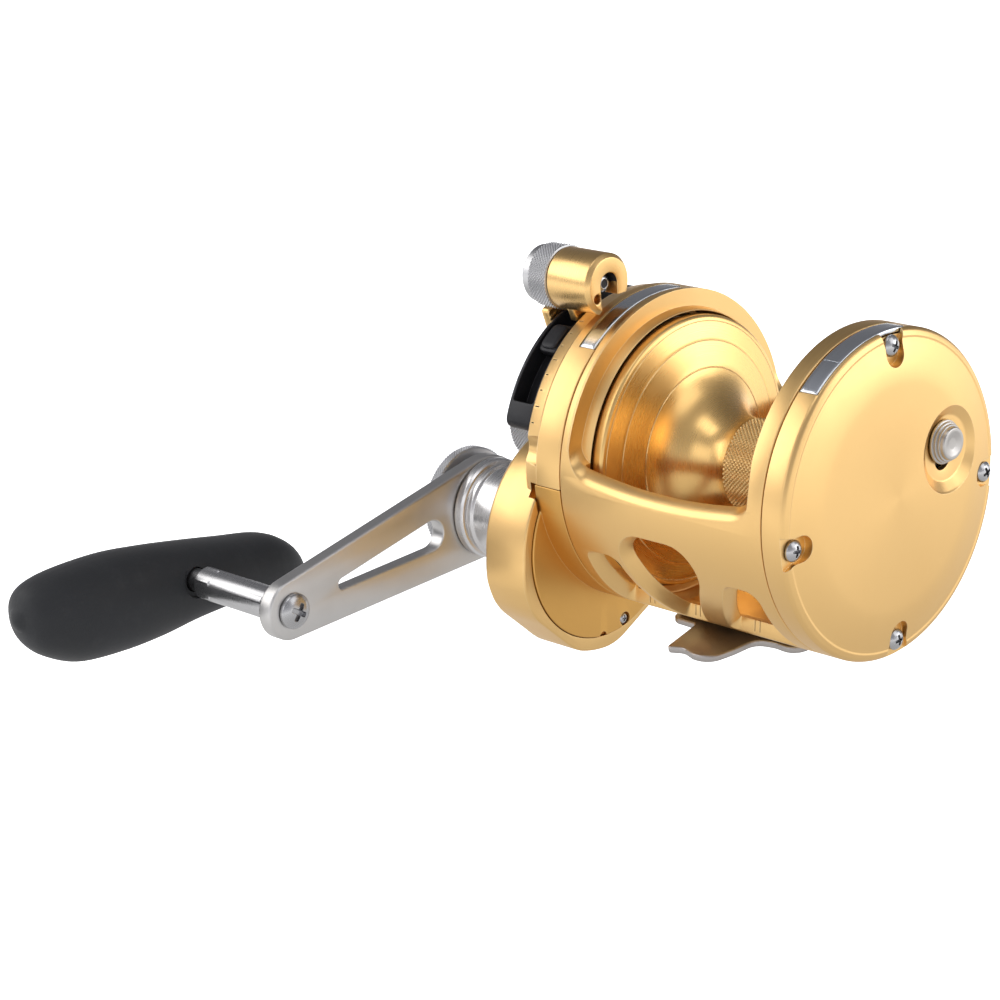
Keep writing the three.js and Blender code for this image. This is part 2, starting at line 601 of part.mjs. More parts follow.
function spoolBody() {
  const side = [[SPOOL_FACE, SPOOL_R], [28, SPOOL_R], [27.2, 38.6], [25.25, 32.2]];
  const filletX = 6.4;
  for (let deg = 76; deg >= 0; deg -= 19) {
    side.push([filletX + FILLET_R * Math.sin(rad(deg)), ARBOR_R + FILLET_R * (1 - Math.cos(rad(deg)))]);
  }
  const handleSide = side.map(([x, r]) => [-x, r]).reverse();
  const hub = [[34, 0], [34, 12], [SPOOL_FACE, 12]];
  const outside = turned([...hub, ...side, ...handleSide, [-SPOOL_FACE, 0]], ROUND);
  return cut(outside, disc(8.3, 21.5, 40, SMALL + 4), disc(4.5, -30, 30, SMALL), disc(8.3, -40, -21.5, SMALL + 4));
}

function clickGear() {
  const teeth = 36;
  const points = [];
  for (let i = 0; i < teeth; i += 1) {
    points.push(onCircle(22.9, 360 * i / teeth), onCircle(21.3, 360 * (i + 0.5) / teeth));
  }
  const shape = polygon(points);
  const hole = new THREE.Path();
  hole.absarc(0, 0, 12 + GAP, 0, 2 * Math.PI, true);
  shape.holes.push(hole);
  return alongX(shape, SPOOL_FACE + GAP, 33.2, 10);
}

function dragPlate() {
  return turned([
    [-34.2, 38.4], [-34.2, SHAFT_R + 0.5], [-48.8, SHAFT_R + 0.5], [-48.8, 5.6], [-39.4, 5.6], [-38.6, 9],
    [-37, 12], [-37, 38.4],
  ], MEDIUM);
}

function springWasher(x) {
  return turned([[x, SHAFT_R + GAP], [x, 4.2], [x - 1, 7.6], [x - 1.5, 7.6], [x - 0.6, SHAFT_R + GAP]], SMALL);
}

function addSpool() {
  addMesh('spool', spoolBody(), GOLD);
  addMesh('click_gear', clickGear(), STEEL);
  addMesh('spool_bearing_tail', ring(8, SHAFT_R + GAP, 22, 26.2), STEEL);
  addMesh('spool_bearing_handle', ring(8, SHAFT_R + GAP, -26.2, -22), STEEL);
  addMesh('drag_lining', ring(36.5, 18, -33.6, -31.3, MEDIUM + 16), CARBON);
  addMesh('drag_plate', dragPlate(), STEEL);
  addMesh('spring_washer_1', springWasher(-26.8), STEEL);
  addMesh('spring_washer_2', springWasher(-28.6), STEEL);
  addMesh('spool_shaft', disc(SHAFT_R, -80, 41, SMALL), STEEL);
}

// ---------- quadrant, drag lever and preset knob ----------

function quadrantBody() {
  const band = alongX(sector(QUADRANT_R, 34, QUADRANT_FROM, QUADRANT_TO), QUADRANT_END_X, RIM_X - GAP, 16);
  const channel = alongX(sector(50, 37.5, QUADRANT_FROM + 10, QUADRANT_TO - 10.5), QUADRANT_END_X + 1.3, -52.4, 14);
  return cut(band, channel);
}

// Built for a lever that stands along +z and turned into place afterwards.
function leverBody() {
  const hub = disc(12, -67.5, CASE_X - 0.6, MEDIUM);
  const arm = alongX(polygon([[-7, 0], [-4.6, 45.6], [4.6, 45.6], [7, 0]]), -65.4, CASE_X - 0.6);
  const bridge = block(-65.4, -51.4, -1, 4.6, 43.7, 45.6);
  const stem = block(-54.3, -51.4, -4.6, 4.6, 43.7, 52);
  const barrel = turned([
    [-54.4, 0], [-54.4, BARREL_R], [-39.7, BARREL_R], [-38.5, BARREL_R - 1.2], [-38.5, 0],
  ], MEDIUM, 0, LEVER_REACH);
  const bore = disc(SHAFT_R + GAP, -80, -50, SMALL);
  const keyhole = joined(disc(3.4, -43.4, -37, SMALL), block(-43.4, -37, -3.4, 3.4, -5, 0),
    block(-51.2, -37, -3.3, 20, -20, -3.5))
    .rotate([90 - LEVER_ANGLE, 0, 0]).translate([0, 0, LEVER_REACH]);
  const pinHole = disc(1.3, -43, -37, 12, -5.7, LEVER_REACH - 1.3);
  const plungerHole = disc(2.8, -45.2, -43, SMALL, 0, LEVER_REACH);
  const studHole = disc(3.3, -56, -47.4, SMALL, 0, LEVER_REACH);
  return cut(joined(hub, arm, bridge, stem, barrel), bore, keyhole, pinHole, plungerHole, studHole);
}

function leverKnob() {
  return turned([
    [-48, 0], [-48, 3], [-54.7, 3], [-54.7, 9.4], [-61.2, 9.4], [-62, 8.2], [-64.2, 8.2], [-65.6, 7], [-66.2, 5],
    [-66.2, 0],
  ], MEDIUM, 0, LEVER_REACH);
}

function presetKnob() {
  return turned([
    [-73.2, SHAFT_R + GAP], [-73.2, 12.6], [-74, 13.6], [-88.2, 13.6], [-89.4, 12.4], [-90, 10], [-90, 0],
    [-81.2, 0], [-81.2, SHAFT_R + GAP],
  ], MEDIUM);
}

function addDrag() {
  addMesh('quadrant', quadrantBody(), BLACK);
  const strike = group(all, 0, 0, 0, STRIKE_ANGLE - 90);
  const button = cut(joined(
    block(-60, -52.7, -5, 5, 40, 42.4), block(-59.3, -53.3, -4.3, 4.3, 42.3, 43.4)),
    disc(1.2, -62, -50, 8, 0, 41));
  addMesh('strike_button', button, BLACK, strike);
  addMesh('strike_screw', disc(0.9, -59.6, -53.1, 8, 0, 41), STEEL, strike);
  const lever = group(all, 0, 0, 0, LEVER_ANGLE - 90);
  addMesh('drag_lever', leverBody(), GOLD, lever);
  addMesh('lever_knob', leverKnob(), CHROME, lever);
  const plunger = turned([[-43, 0], [-43, 2.5], [-40.6, 2.5], [-40, 1.8], [-40, 0]], SMALL, 0, LEVER_REACH);
  addMesh('lever_plunger', plunger, BLACK, lever);
  addMesh('drag_cam', ring(11, SHAFT_R + GAP, -70.2, -67.8), STEEL);
  addMesh('cam_follower', ring(11, SHAFT_R + GAP, -72.8, -70.8), STEEL);
  addMesh('preset_knob', presetKnob(), CHROME);
}

// ---------- handle ----------

function crankShaft() {
  return turned([
    [-100.4, 2.6], [-100.4, CRANK_R], [-46.6, CRANK_R], [-46.6, 0], [-49, 0], [-49, 2.6],
  ], 24);
}

function collarBody() {
  return turned([
    [CASE_BOSS_X - 0.4, CRANK_R + GAP], [CASE_BOSS_X - 0.4, 13.4], [-86.2, 13.4], [-87, 14], [-88.2, 14],
    [-88.6, 13.6], [-89, 14.6], [-89.8, 15.1], [-92.7, 15.1], [-92.7, CRANK_R + GAP],
  ], MEDIUM);
}

// Tapered arm: two round ends and straight tangent sides, with a matching slot.
function taperedShape(y0, r0, y1, r1) {
  const lean = Math.asin((r0 - r1) / Math.abs(y1 - y0));
  const shape = new THREE.Shape();
  shape.absarc(y1, 0, r1, Math.PI / 2 + lean, -Math.PI / 2 - lean, false);
  shape.absarc(y0, 0, r0, -Math.PI / 2 - lean, Math.PI / 2 + lean, false);
  return shape;
}

function handleArm() {
  const arm = alongX(taperedShape(0, 15.5, -ARM_LENGTH, 8.8), ARM_X, ARM_X + ARM_T, 16);
  const slot = alongX(taperedShape(-24, 4.6, -60, 1.7), ARM_X - 1, ARM_X + ARM_T + 1, 10);
  const shaftHole = disc(CRANK_R + GAP, ARM_X - 1, ARM_X + ARM_T + 1, 24);
  const spindleHole = disc(2.8, ARM_X - 1, ARM_X + ARM_T + 1, SMALL, -ARM_LENGTH, 0);
  return cut(arm, slot, shaftHole, spindleHole);
}

function handleNut() {
  const top = ARM_X - 6;
  return turned([
    [ARM_X - GAP, CRANK_R + GAP], [ARM_X - GAP, 14], [ARM_X - 2, 14], [ARM_X - 2.6, 16.4], [ARM_X - 5.2, 17],
    [top, 16], [top, 10.6], [ARM_X - 2.6, 10.6], [ARM_X - 2.6, CRANK_R + GAP],
  ], MEDIUM);
}

function shiftButton() {
  const base = ARM_X - 5.9;
  return turned([
    [-62, 0], [-62, 2.2], [base, 2.2], [base, 10.2], [base - 2, 10.2], [base - 3.6, 9.2], [base - 5, 6.6],
    [base - 5.6, 3.4], [base - 5.8, 0],
  ], MEDIUM);
}

function shiftKey() {
  return joined(disc(2.2, -61.6, -53, SMALL), disc(2.4, -58.5, -56, SMALL));
}

function spindleBody() {
  const tip = GRIP_X - 9;
  const rod = turned([
    [ARM_X - GAP, 2.8], [ARM_X - GAP, 4.8], [-131.6, 4.8], [-131.6, 3.4], [tip, 3.4], [tip, 0], [-112, 0], [-112, 2.8],
  ], 24);
  const hex = alongX(polygon([30, 90, 150, 210, 270, 330].map((deg) => onCircle(5.3, deg))), -131, -125);
  return joined(rod, hex);
}

// Soft T-bar: sections [y, centre height, half height, half depth], thick and drooping at the front end.
const GRIP_SECTIONS = [
  [-56, 2.2, 3.5, 3.5], [-53.6, 1.6, 8.2, 7.8], [-48.5, 0.4, 11.6, 10.8], [-39, -1.2, 14.2, 12.8], [-24, -2, 14.9, 13],
  [-10, -2.8, 13.9, 12.6], [4, -3.4, 12, 12], [20, -4.8, 10.2, 11.6], [34, -6.9, 9.4, 11], [42, -9.4, 7.4, 8.6],
  [47, -12, 3.4, 4],
];

function gripBody() {
  const ellipse = (halfHeight, halfDepth) => {
    const points = [];
    for (let k = 0; k < 20; k += 1) {
      const [u, v] = onCircle(1, 18 * k);
      points.push(new THREE.Vector2(halfDepth * u, halfHeight * v));
    }
    return points;
  };
  const outlines = GRIP_SECTIONS.map(([, , height, depth]) => ellipse(height, depth));
  const bar = lofted(outlines, (p, i) => [p.x, GRIP_SECTIONS[i][0], p.y + GRIP_SECTIONS[i][1]]);
  return cut(bar, disc(3.8, -9.8, 20, SMALL), disc(5.2, 10.8, 20, SMALL));
}

function addHandle() {
  const crank = group(all, 0, GEAR_Y, GEAR_Z);
  addMesh('crank_shaft', crankShaft(), STEEL, crank);
  addMesh('collar', collarBody(), STEEL, crank);
  addMesh('handle_nut', handleNut(), CHROME, crank);
  addMesh('shift_button', shiftButton(), CHROME, crank);
  addMesh('shift_key', shiftKey(), STEEL, crank);
  const arm = group(crank, 0, 0, 0, ARM_DROP);
  addMesh('handle_arm', handleArm(), TITANIUM, arm);
  const end = group(arm, 0, -ARM_LENGTH, 0);
  addMesh('grip_screw', panScrew(5, 2.4, 2.4, 17), STEEL, end).position.x = ARM_X + ARM_T + GAP;
  addMesh('grip_spindle', spindleBody(), STEEL, end);
  const grip = addMesh('grip', gripBody(), RUBBER, end);
  grip.position.x = GRIP_X;
  grip.rotation.x = rad(-ARM_DROP);
}

addFrame();
addTail();
addHandlePlate();
addGears();
addSpool();
addDrag();
addHandle();

export default all;
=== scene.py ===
"""Looks of a two-speed lever-drag trolling reel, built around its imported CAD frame.

Shapes are worked out in millimetres about the spool axis: x along the axis towards the tail plate,
y to the rear of the rod, z away from the rod. place_piece() turns them into the frame's metres.
"""

import json
import math

import bmesh
import bpy
import numpy as np
from mathutils import Matrix, Vector
from mathutils.geometry import delaunay_2d_cdt


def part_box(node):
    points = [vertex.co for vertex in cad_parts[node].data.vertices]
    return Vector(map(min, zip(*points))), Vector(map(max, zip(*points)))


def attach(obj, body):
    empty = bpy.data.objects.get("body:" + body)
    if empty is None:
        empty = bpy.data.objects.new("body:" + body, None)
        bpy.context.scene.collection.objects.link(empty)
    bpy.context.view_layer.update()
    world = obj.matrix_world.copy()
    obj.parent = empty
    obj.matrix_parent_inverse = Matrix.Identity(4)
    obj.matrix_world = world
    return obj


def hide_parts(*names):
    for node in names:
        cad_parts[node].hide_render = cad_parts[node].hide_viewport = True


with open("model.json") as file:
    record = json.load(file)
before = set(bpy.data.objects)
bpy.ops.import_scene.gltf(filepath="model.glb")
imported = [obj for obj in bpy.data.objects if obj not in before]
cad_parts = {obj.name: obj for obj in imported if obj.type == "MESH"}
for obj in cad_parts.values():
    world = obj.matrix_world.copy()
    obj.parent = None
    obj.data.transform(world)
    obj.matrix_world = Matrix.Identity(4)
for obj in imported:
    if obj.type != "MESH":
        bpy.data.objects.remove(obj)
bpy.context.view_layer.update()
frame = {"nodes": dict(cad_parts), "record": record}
BODY_OF = {node: body for body, nodes in frame["record"]["behaviour"]["bodies"].items() for node in nodes}

MM = 0.001
TAU = 2 * math.pi
AXIS_Z = sum(corner.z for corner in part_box("spool")) / 2


def span(node):
    """Lowest and highest x, y, z of a CAD node, in millimetres from the spool axis."""
    low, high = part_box(node)
    return [(low[k] / MM, high[k] / MM) if k < 2 else ((low[k] - AXIS_Z) / MM, (high[k] - AXIS_Z) / MM)
            for k in range(3)]


def centre(node):
    return [(low + high) / 2 for low, high in span(node)]


# ---------- driving dimensions, most of them from the frame ----------

# Facets of rounds, from the largest to the smallest.
FINE, MIDDLING, ROUND, SMALL = 320, 192, 96, 48
BODY_R = span("tail_plate")[1][1]               # outer radius of frame and plates
FRAME_X = span("frame")[0][1]                   # half length of the frame
PLATE_X0 = -span("side_plate")[0][1]            # inner face of both plates, from the middle
RING_HOLE_R = 39.9
RING_IN_HANDLE = 30.1                           # inner faces of the frame's two rings
RING_IN_TAIL = 30.7
RING_FACE_X = 33.35                             # flat face of the handle-side ring
SHELL_IN_R = 42.3                               # inside of the frame between its rings
BAR_TOP = 3.3                                   # lower edge of the line opening at mid length
BAR_ARCH = 0.003                                # how quickly it rises towards the ends
FOOT_LOW, FOOT_TOP = span("foot")[2]
GEAR = GEAR_Y, GEAR_Z = centre("crank_shaft")[1:]
KNOB = KNOB_Y, KNOB_Z = centre("lever_knob")[1:]
LEVER_ANGLE = math.degrees(math.atan2(KNOB_Z, KNOB_Y))
LEVER_REACH = math.hypot(KNOB_Y, KNOB_Z)
GRIP = GRIP_Y, GRIP_Z = centre("grip_spindle")[1:]
GRIP_X = centre("grip")[0]
ARM_X0, ARM_X1 = span("handle_arm")[0]
ARM_LENGTH = math.hypot(GRIP_Y - GEAR_Y, GRIP_Z - GEAR_Z)
ARM_DROP = math.degrees(math.atan2(GEAR_Z - GRIP_Z, GEAR_Y - GRIP_Y))
CASE_X = -61.8                                  # face of the gear case
CASE_BOSS_X = -70                               # and of its round boss
CASE_WALL = 1.5                                 # thickness of the case behind its face
COVER_X = span("gear_cover")[0][0] + 3          # outer face of the round part of the cover
COVER_R = 29.8
RIM_X = -50.7                                   # end of the side plate's round rim
QUADRANT_X0, QUADRANT_X1 = span("quadrant")[0]
QUADRANT_R = 43.2
STRIKE_ANGLE = 124.7                            # where the strike button stands
CLICK = CLICK_Y, CLICK_Z = centre("clicker_button")[1:]
CLICK_TRAVEL = 4.8
CLICK_SLOT_R = 3.3
DISH = (23.4, 7.5)                              # middle of the tail plate's dish
STRIP_FLOOR = 44.35                             # radius of the seat of the two chromed strips
SHAFT_HOLE_R = 3.3                              # round the spool shaft
CRANK_HOLE_R = 6.3                              # round the crank shaft
SCREW_HOLE_R = 1.8                              # for the plate screws
COVER_HOLE_R = 1.2                              # for the cover screws
KNURL_DEPTH = 0.5
KNURL_SHARP = 9                                 # edges sharper than this many degrees stay crisp on knurls


# ---------- mesh helpers ----------

def on_circle(radius, degrees, y=0.0, z=0.0):
    angle = math.radians(degrees)
    return y + radius * math.cos(angle), z + radius * math.sin(angle)


def new_object(points, faces):
    mesh = bpy.data.meshes.new("part")
    mesh.from_pydata([tuple(map(float, p)) for p in points], [], faces)
    work = bmesh.new()
    work.from_mesh(mesh)
    bmesh.ops.recalc_face_normals(work, faces=work.faces)
    work.to_mesh(mesh)
    work.free()
    obj = bpy.data.objects.new("part", mesh)
    bpy.context.scene.collection.objects.link(obj)
    return obj


def arc_points(corner, before, after, radius, steps, grow=0.0, outward=1.0):
    """Arc that rounds a corner between two unit directions; grow changes its radius."""
    half = math.acos(max(-1.0, min(1.0, float(before @ after)))) / 2
    middle = (before + after) / np.linalg.norm(before + after)
    hub = corner + middle * radius / math.sin(half)
    reach = radius / math.tan(half)
    start = (corner + before * reach - hub) / radius
    end = (corner + after * reach - hub) / radius
    turn = math.pi - 2 * half
    found = []
    for k in range(steps + 1):
        share = k / steps
        direction = start
        if turn > 1e-4:
            direction = (math.sin((1 - share) * turn) * start + math.sin(share * turn) * end) / math.sin(turn)
        found.append(hub + max(radius + outward * grow, 0.001) * direction)
    return found


def directions(points, i):
    """Unit directions from a polygon's corner to the corners before and after it."""
    before = points[i - 1] - points[i]
    after = points[(i + 1) % len(points)] - points[i]
    return before / np.linalg.norm(before), after / np.linalg.norm(after)


def rounded(corners, steps=4, closed=False):
    """Polyline through (u, v) or (u, v, radius) corners, with an arc at each corner that has a radius."""
    points = [np.array(corner[:2], float) for corner in corners]
    result = []
    for i, corner in enumerate(corners):
        inner = closed or 0 < i < len(corners) - 1
        if len(corner) > 2 and inner:
            result.extend(arc_points(points[i], *directions(points, i), corner[2], steps))
        else:
            result.append(points[i])
    return [tuple(point) for point in result]


def outline(corners, grow=0.0, steps=6, longest=None):
    """Closed rounded polygon of (u, v, radius) corners, offset outwards by grow.

    Straight sides are divided into pieces no longer than longest.
    """
    points = [np.array(corner[:2], float) for corner in corners]
    count = len(points)
    area = sum(points[i - 1][0] * points[i][1] - points[i][0] * points[i - 1][1] for i in range(count))
    arcs = []
    for i, corner in enumerate(corners):
        before, after = directions(points, i)
        turn = before[1] * after[0] - before[0] * after[1]
        convex = 1.0 if turn * area > 0 else -1.0
        arcs.append(arc_points(points[i], before, after, corner[2], steps, grow, convex))
    result = []
    for i, arc in enumerate(arcs):
        result.extend(arc)
        if longest:
            start, end = arc[-1], arcs[(i + 1) % count][0]
            pieces = max(1, math.ceil(np.linalg.norm(points[(i + 1) % count] - points[i]) / longest))
            result.extend(start + (end - start) * k / pieces for k in range(1, pieces))
    return result


def revolve(profile, segments=ROUND, y=0.0, z=0.0, knurl=None):
    """Solid of revolution about x from (x, radius) points.

    knurl = (first, last, depth) turns the rings with those numbers into diamonds.
    """
    first, end, depth = knurl or (0, -1, 0.0)
    points, rings = [], []
    for number, (x, radius) in enumerate(profile):
        if radius < 1e-6:
            rings.append([len(points)] * segments)
            points.append((x, y, z))
            continue
        rings.append(list(range(len(points), len(points) + segments)))
        for i in range(segments):
            low = first <= number <= end and (i + number) % 2 == 0
            points.append((x, *on_circle(radius - depth * low, 360 * i / segments, y, z)))
    last = len(rings) if profile[0][1] > 1e-6 else len(rings) - 1
    faces = []
    for level in range(last):
        a, b = rings[level], rings[(level + 1) % len(rings)]
        diamonds = first <= level < end
        for i in range(segments):
            j = (i + 1) % segments
            if diamonds and (i + level) % 2 == 0:
                faces += [(a[i], a[j], b[j]), (a[i], b[j], b[i])]
            elif diamonds:
                faces += [(a[i], a[j], b[i]), (a[j], b[j], b[i])]
            else:
                face = list(dict.fromkeys((a[i], a[j], b[j], b[i])))
                if len(face) > 2:
                    faces.append(face)
    return new_object(points, faces)


def knurled(before, x0, x1, radius, after, count, depth, y=0.0, z=0.0):
    """Turned piece with a diamond-knurled band from x0 to x1 between two smooth stretches of profile."""
    steps = 2 * max(1, round(abs(x1 - x0) / (TAU * radius / count)))
    band = [(x0 + (x1 - x0) * k / steps, radius) for k in range(steps + 1)]
    first = len(before)
    return revolve(before + band + after, 2 * count, y, z, (first, first + steps, depth))


def turned(corners, segments=ROUND, y=0.0, z=0.0, steps=4, closed=False):
    """Solid of revolution with rounded corners; unless closed, it runs in to the axis at both ends."""
    if not closed:
        corners = [(corners[0][0], 0), *corners, (corners[-1][0], 0)]
    return revolve(rounded(corners, steps, closed), segments, y, z)


def disc(radius, x0, x1, y=0.0, z=0.0, segments=SMALL):
    return turned([(x0, radius), (x1, radius)], segments, y, z)


def ring(outer, inner, x0, x1, edge=0.25):
    corners = [(x0, inner, edge), (x0, outer, edge), (x1, outer, edge), (x1, inner, edge)]
    return turned(corners, steps=3, closed=True)


def along_x(u, v, w):
    return w, u, v


def along_z(u, v, w):
    return u, v, w


def round_axis(u, v, w):
    """u is x, v the distance round the body's surface, w the radius."""
    return u, w * math.cos(v / BODY_R), w * math.sin(v / BODY_R)


def arc_along_x(u, v, w):
    """u is the distance round the body's surface, v the radius, w is x."""
    return w, v * math.cos(u / BODY_R), v * math.sin(u / BODY_R)


def surface(degrees):
    """Distance round the body's surface at an angle."""
    return math.radians(degrees) * BODY_R


def cap_mesh(loop, spacing):
    """Triangles that fill a flat outline, with inner points so that the cap can follow a curved surface."""
    corners = [Vector(p) for p in loop]
    low_u, high_u = min(p.x for p in corners), max(p.x for p in corners)
    low_v, high_v = min(p.y for p in corners), max(p.y for p in corners)
    rows = max(2, round((high_v - low_v) / spacing))
    columns = max(2, round((high_u - low_u) / spacing))
    inner = []
    for i in range(1, rows):
        v = low_v + (high_v - low_v) * i / rows
        for k in range(1, columns):
            u = low_u + (high_u - low_u) * k / columns
            if inside(u, v, corners):
                inner.append(Vector((u, v)))
    found = delaunay_2d_cdt(corners + inner, [], [list(range(len(corners)))], 1, 1e-4)
    return [tuple(p) for p in found[0]], [tuple(face) for face in found[2]]


def inside(u, v, corners, clear=0.3):
    """True inside the outline and clear of its corners."""
    crossings = 0
    for i, a in enumerate(corners):
        b = corners[i - 1]
        if (a - Vector((u, v))).length < clear:
            return False
        if (a.y > v) != (b.y > v) and u < (b.x - a.x) * (v - a.y) / (b.y - a.y) + a.x:
            crossings += 1
    return crossings % 2 == 1


def side_faces(count, size):
    """Quads between count loops of size points, numbered one loop after another."""
    return [(base + i, base + (i + 1) % size, base + size + (i + 1) % size, base + size + i)
            for base in range(0, (count - 1) * size, size) for i in range(size)]


def skin(loops):
    """Solid through equal loops of points, with flat ends."""
    size = len(loops[0])
    points = [point for loop in loops for point in loop]
    ends = [list(range(size)), list(range(len(points) - size, len(points)))]
    return new_object(points, ends + side_faces(len(loops), size))


def loft(corners, levels, place=along_x, steps=6, longest=None):
    """Solid through copies of one outline; levels are (w, grow)."""
    loops = [outline(corners, grow, steps, longest) for w, grow in levels]
    placed = [[place(u, v, w) for u, v in loop] for loop, (w, grow) in zip(loops, levels)]
    if not longest:
        return skin(placed)
    size = len(loops[0])
    points = [point for loop in placed for point in loop]
    faces = side_faces(len(levels), size)
    for level in (0, len(levels) - 1):
        flat, triangles = cap_mesh(loops[level], longest)
        extra = len(points) - size
        points += [place(u, v, levels[level][0]) for u, v in flat[size:]]
        faces += [[level * size + k if k < size else extra + k for k in triangle] for triangle in triangles]
    return new_object(points, faces)


def edge_levels(w0, w1, edge, sign, steps=3):
    """Levels of a prism with rounded rims: sign -1 rounds a solid, +1 flares a cutter."""
    angles = [math.pi / 2 * k / steps for k in range(steps + 1)]
    low = [(w0 + edge * (1 - math.cos(a)), sign * edge * (1 - math.sin(a))) for a in angles]
    high = [(w1 - edge * (1 - math.cos(a)), sign * edge * (1 - math.sin(a))) for a in reversed(angles)]
    return low + high


def prism(corners, w0, w1, edge=0.3, place=along_x, steps=6, longest=None):
    """Solid from w0 to w1 with rounded rims."""
    return loft(corners, edge_levels(w0, w1, edge, -1), place, steps, longest)


def pocket(corners, w0, w1, edge=0.3, place=along_x, steps=6, longest=None, beyond=3):
    """Cutter for a blind pocket with its floor at w0 and a rounded rim at w1."""
    levels = [(w0, 0)] + edge_levels(w0, w1, edge, 1)[-4:] + [(w1 + beyond, edge)]
    return loft(corners, levels, place, steps, longest)


def box_corners(u0, u1, v0, v1, radius):
    return [(u0, v0, radius), (u1, v0, radius), (u1, v1, radius), (u0, v1, radius)]


def circle_corners(radius, u=0.0, v=0.0):
    """A square whose corner radius makes it a circle."""
    return box_corners(u - radius, u + radius, v - radius, v + radius, radius * 0.9999)


def combine(base, tools, operation):
    for tool in tools:
        modifier = base.modifiers.new("combine", "BOOLEAN")
        modifier.operation = operation
        modifier.object = tool
        modifier.solver = "MANIFOLD"
    bpy.context.view_layer.update()
    graph = bpy.context.evaluated_depsgraph_get()
    mesh = bpy.data.meshes.new_from_object(base.evaluated_get(graph))
    base.modifiers.clear()
    base.data = mesh
    for tool in tools:
        bpy.data.objects.remove(tool)
    return base


def cut(base, *tools):
    return combine(base, tools, "DIFFERENCE")


def joined(base, *tools):
    return combine(base, tools, "UNION")


def moved(obj, x=0.0, y=0.0, z=0.0, turn_x=0.0):
    """Turns an object about the x axis through the origin, then shifts it."""
    obj.data.transform(Matrix.Translation((x, y, z)) @ Matrix.Rotation(math.radians(turn_x), 4, "X"))
    return obj


def place_piece(obj, node, finish, sharp=32):
    """Gives a finished shape the name, place, shading and material of its CAD node."""
    obj.name = node + "_fine"
    obj.data.name = obj.name
    obj.data.transform(Matrix.Translation((0, 0, AXIS_Z)) @ Matrix.Scale(MM, 4))
    obj.data.shade_smooth()
    obj.data.set_sharp_from_angle(angle=math.radians(sharp))
    obj.data.materials.clear()
    obj.data.materials.append(FINISH[finish])
    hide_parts(node)
    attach(obj, BODY_OF[node])
    return obj


def paint_faces(obj, finish, chosen):
    """Second finish where chosen(point, face) is true; point is the face's middle, in millimetres."""
    obj.data.materials.append(FINISH[finish])
    for face in obj.data.polygons:
        x, y, z = face.center / MM
        if chosen(Vector((x, y, z - AXIS_Z / MM)), face):
            face.material_index = len(obj.data.materials) - 1


# ---------- materials ----------

class Tree:
    """Adds and links the nodes of one shader tree."""

    def __init__(self, tree):
        self.tree = tree
        tree.nodes.clear()
        self.place = self.add("ShaderNodeTexCoord")

    def add(self, kind, operation=None, **inputs):
        node = self.tree.nodes.new(kind)
        if operation:
            node.operation = operation
        for key, value in inputs.items():
            node.inputs[key.replace("_", " ")].default_value = value
        return node

    def link(self, source, out, target, into):
        self.tree.links.new(source.outputs[out], target.inputs[into])


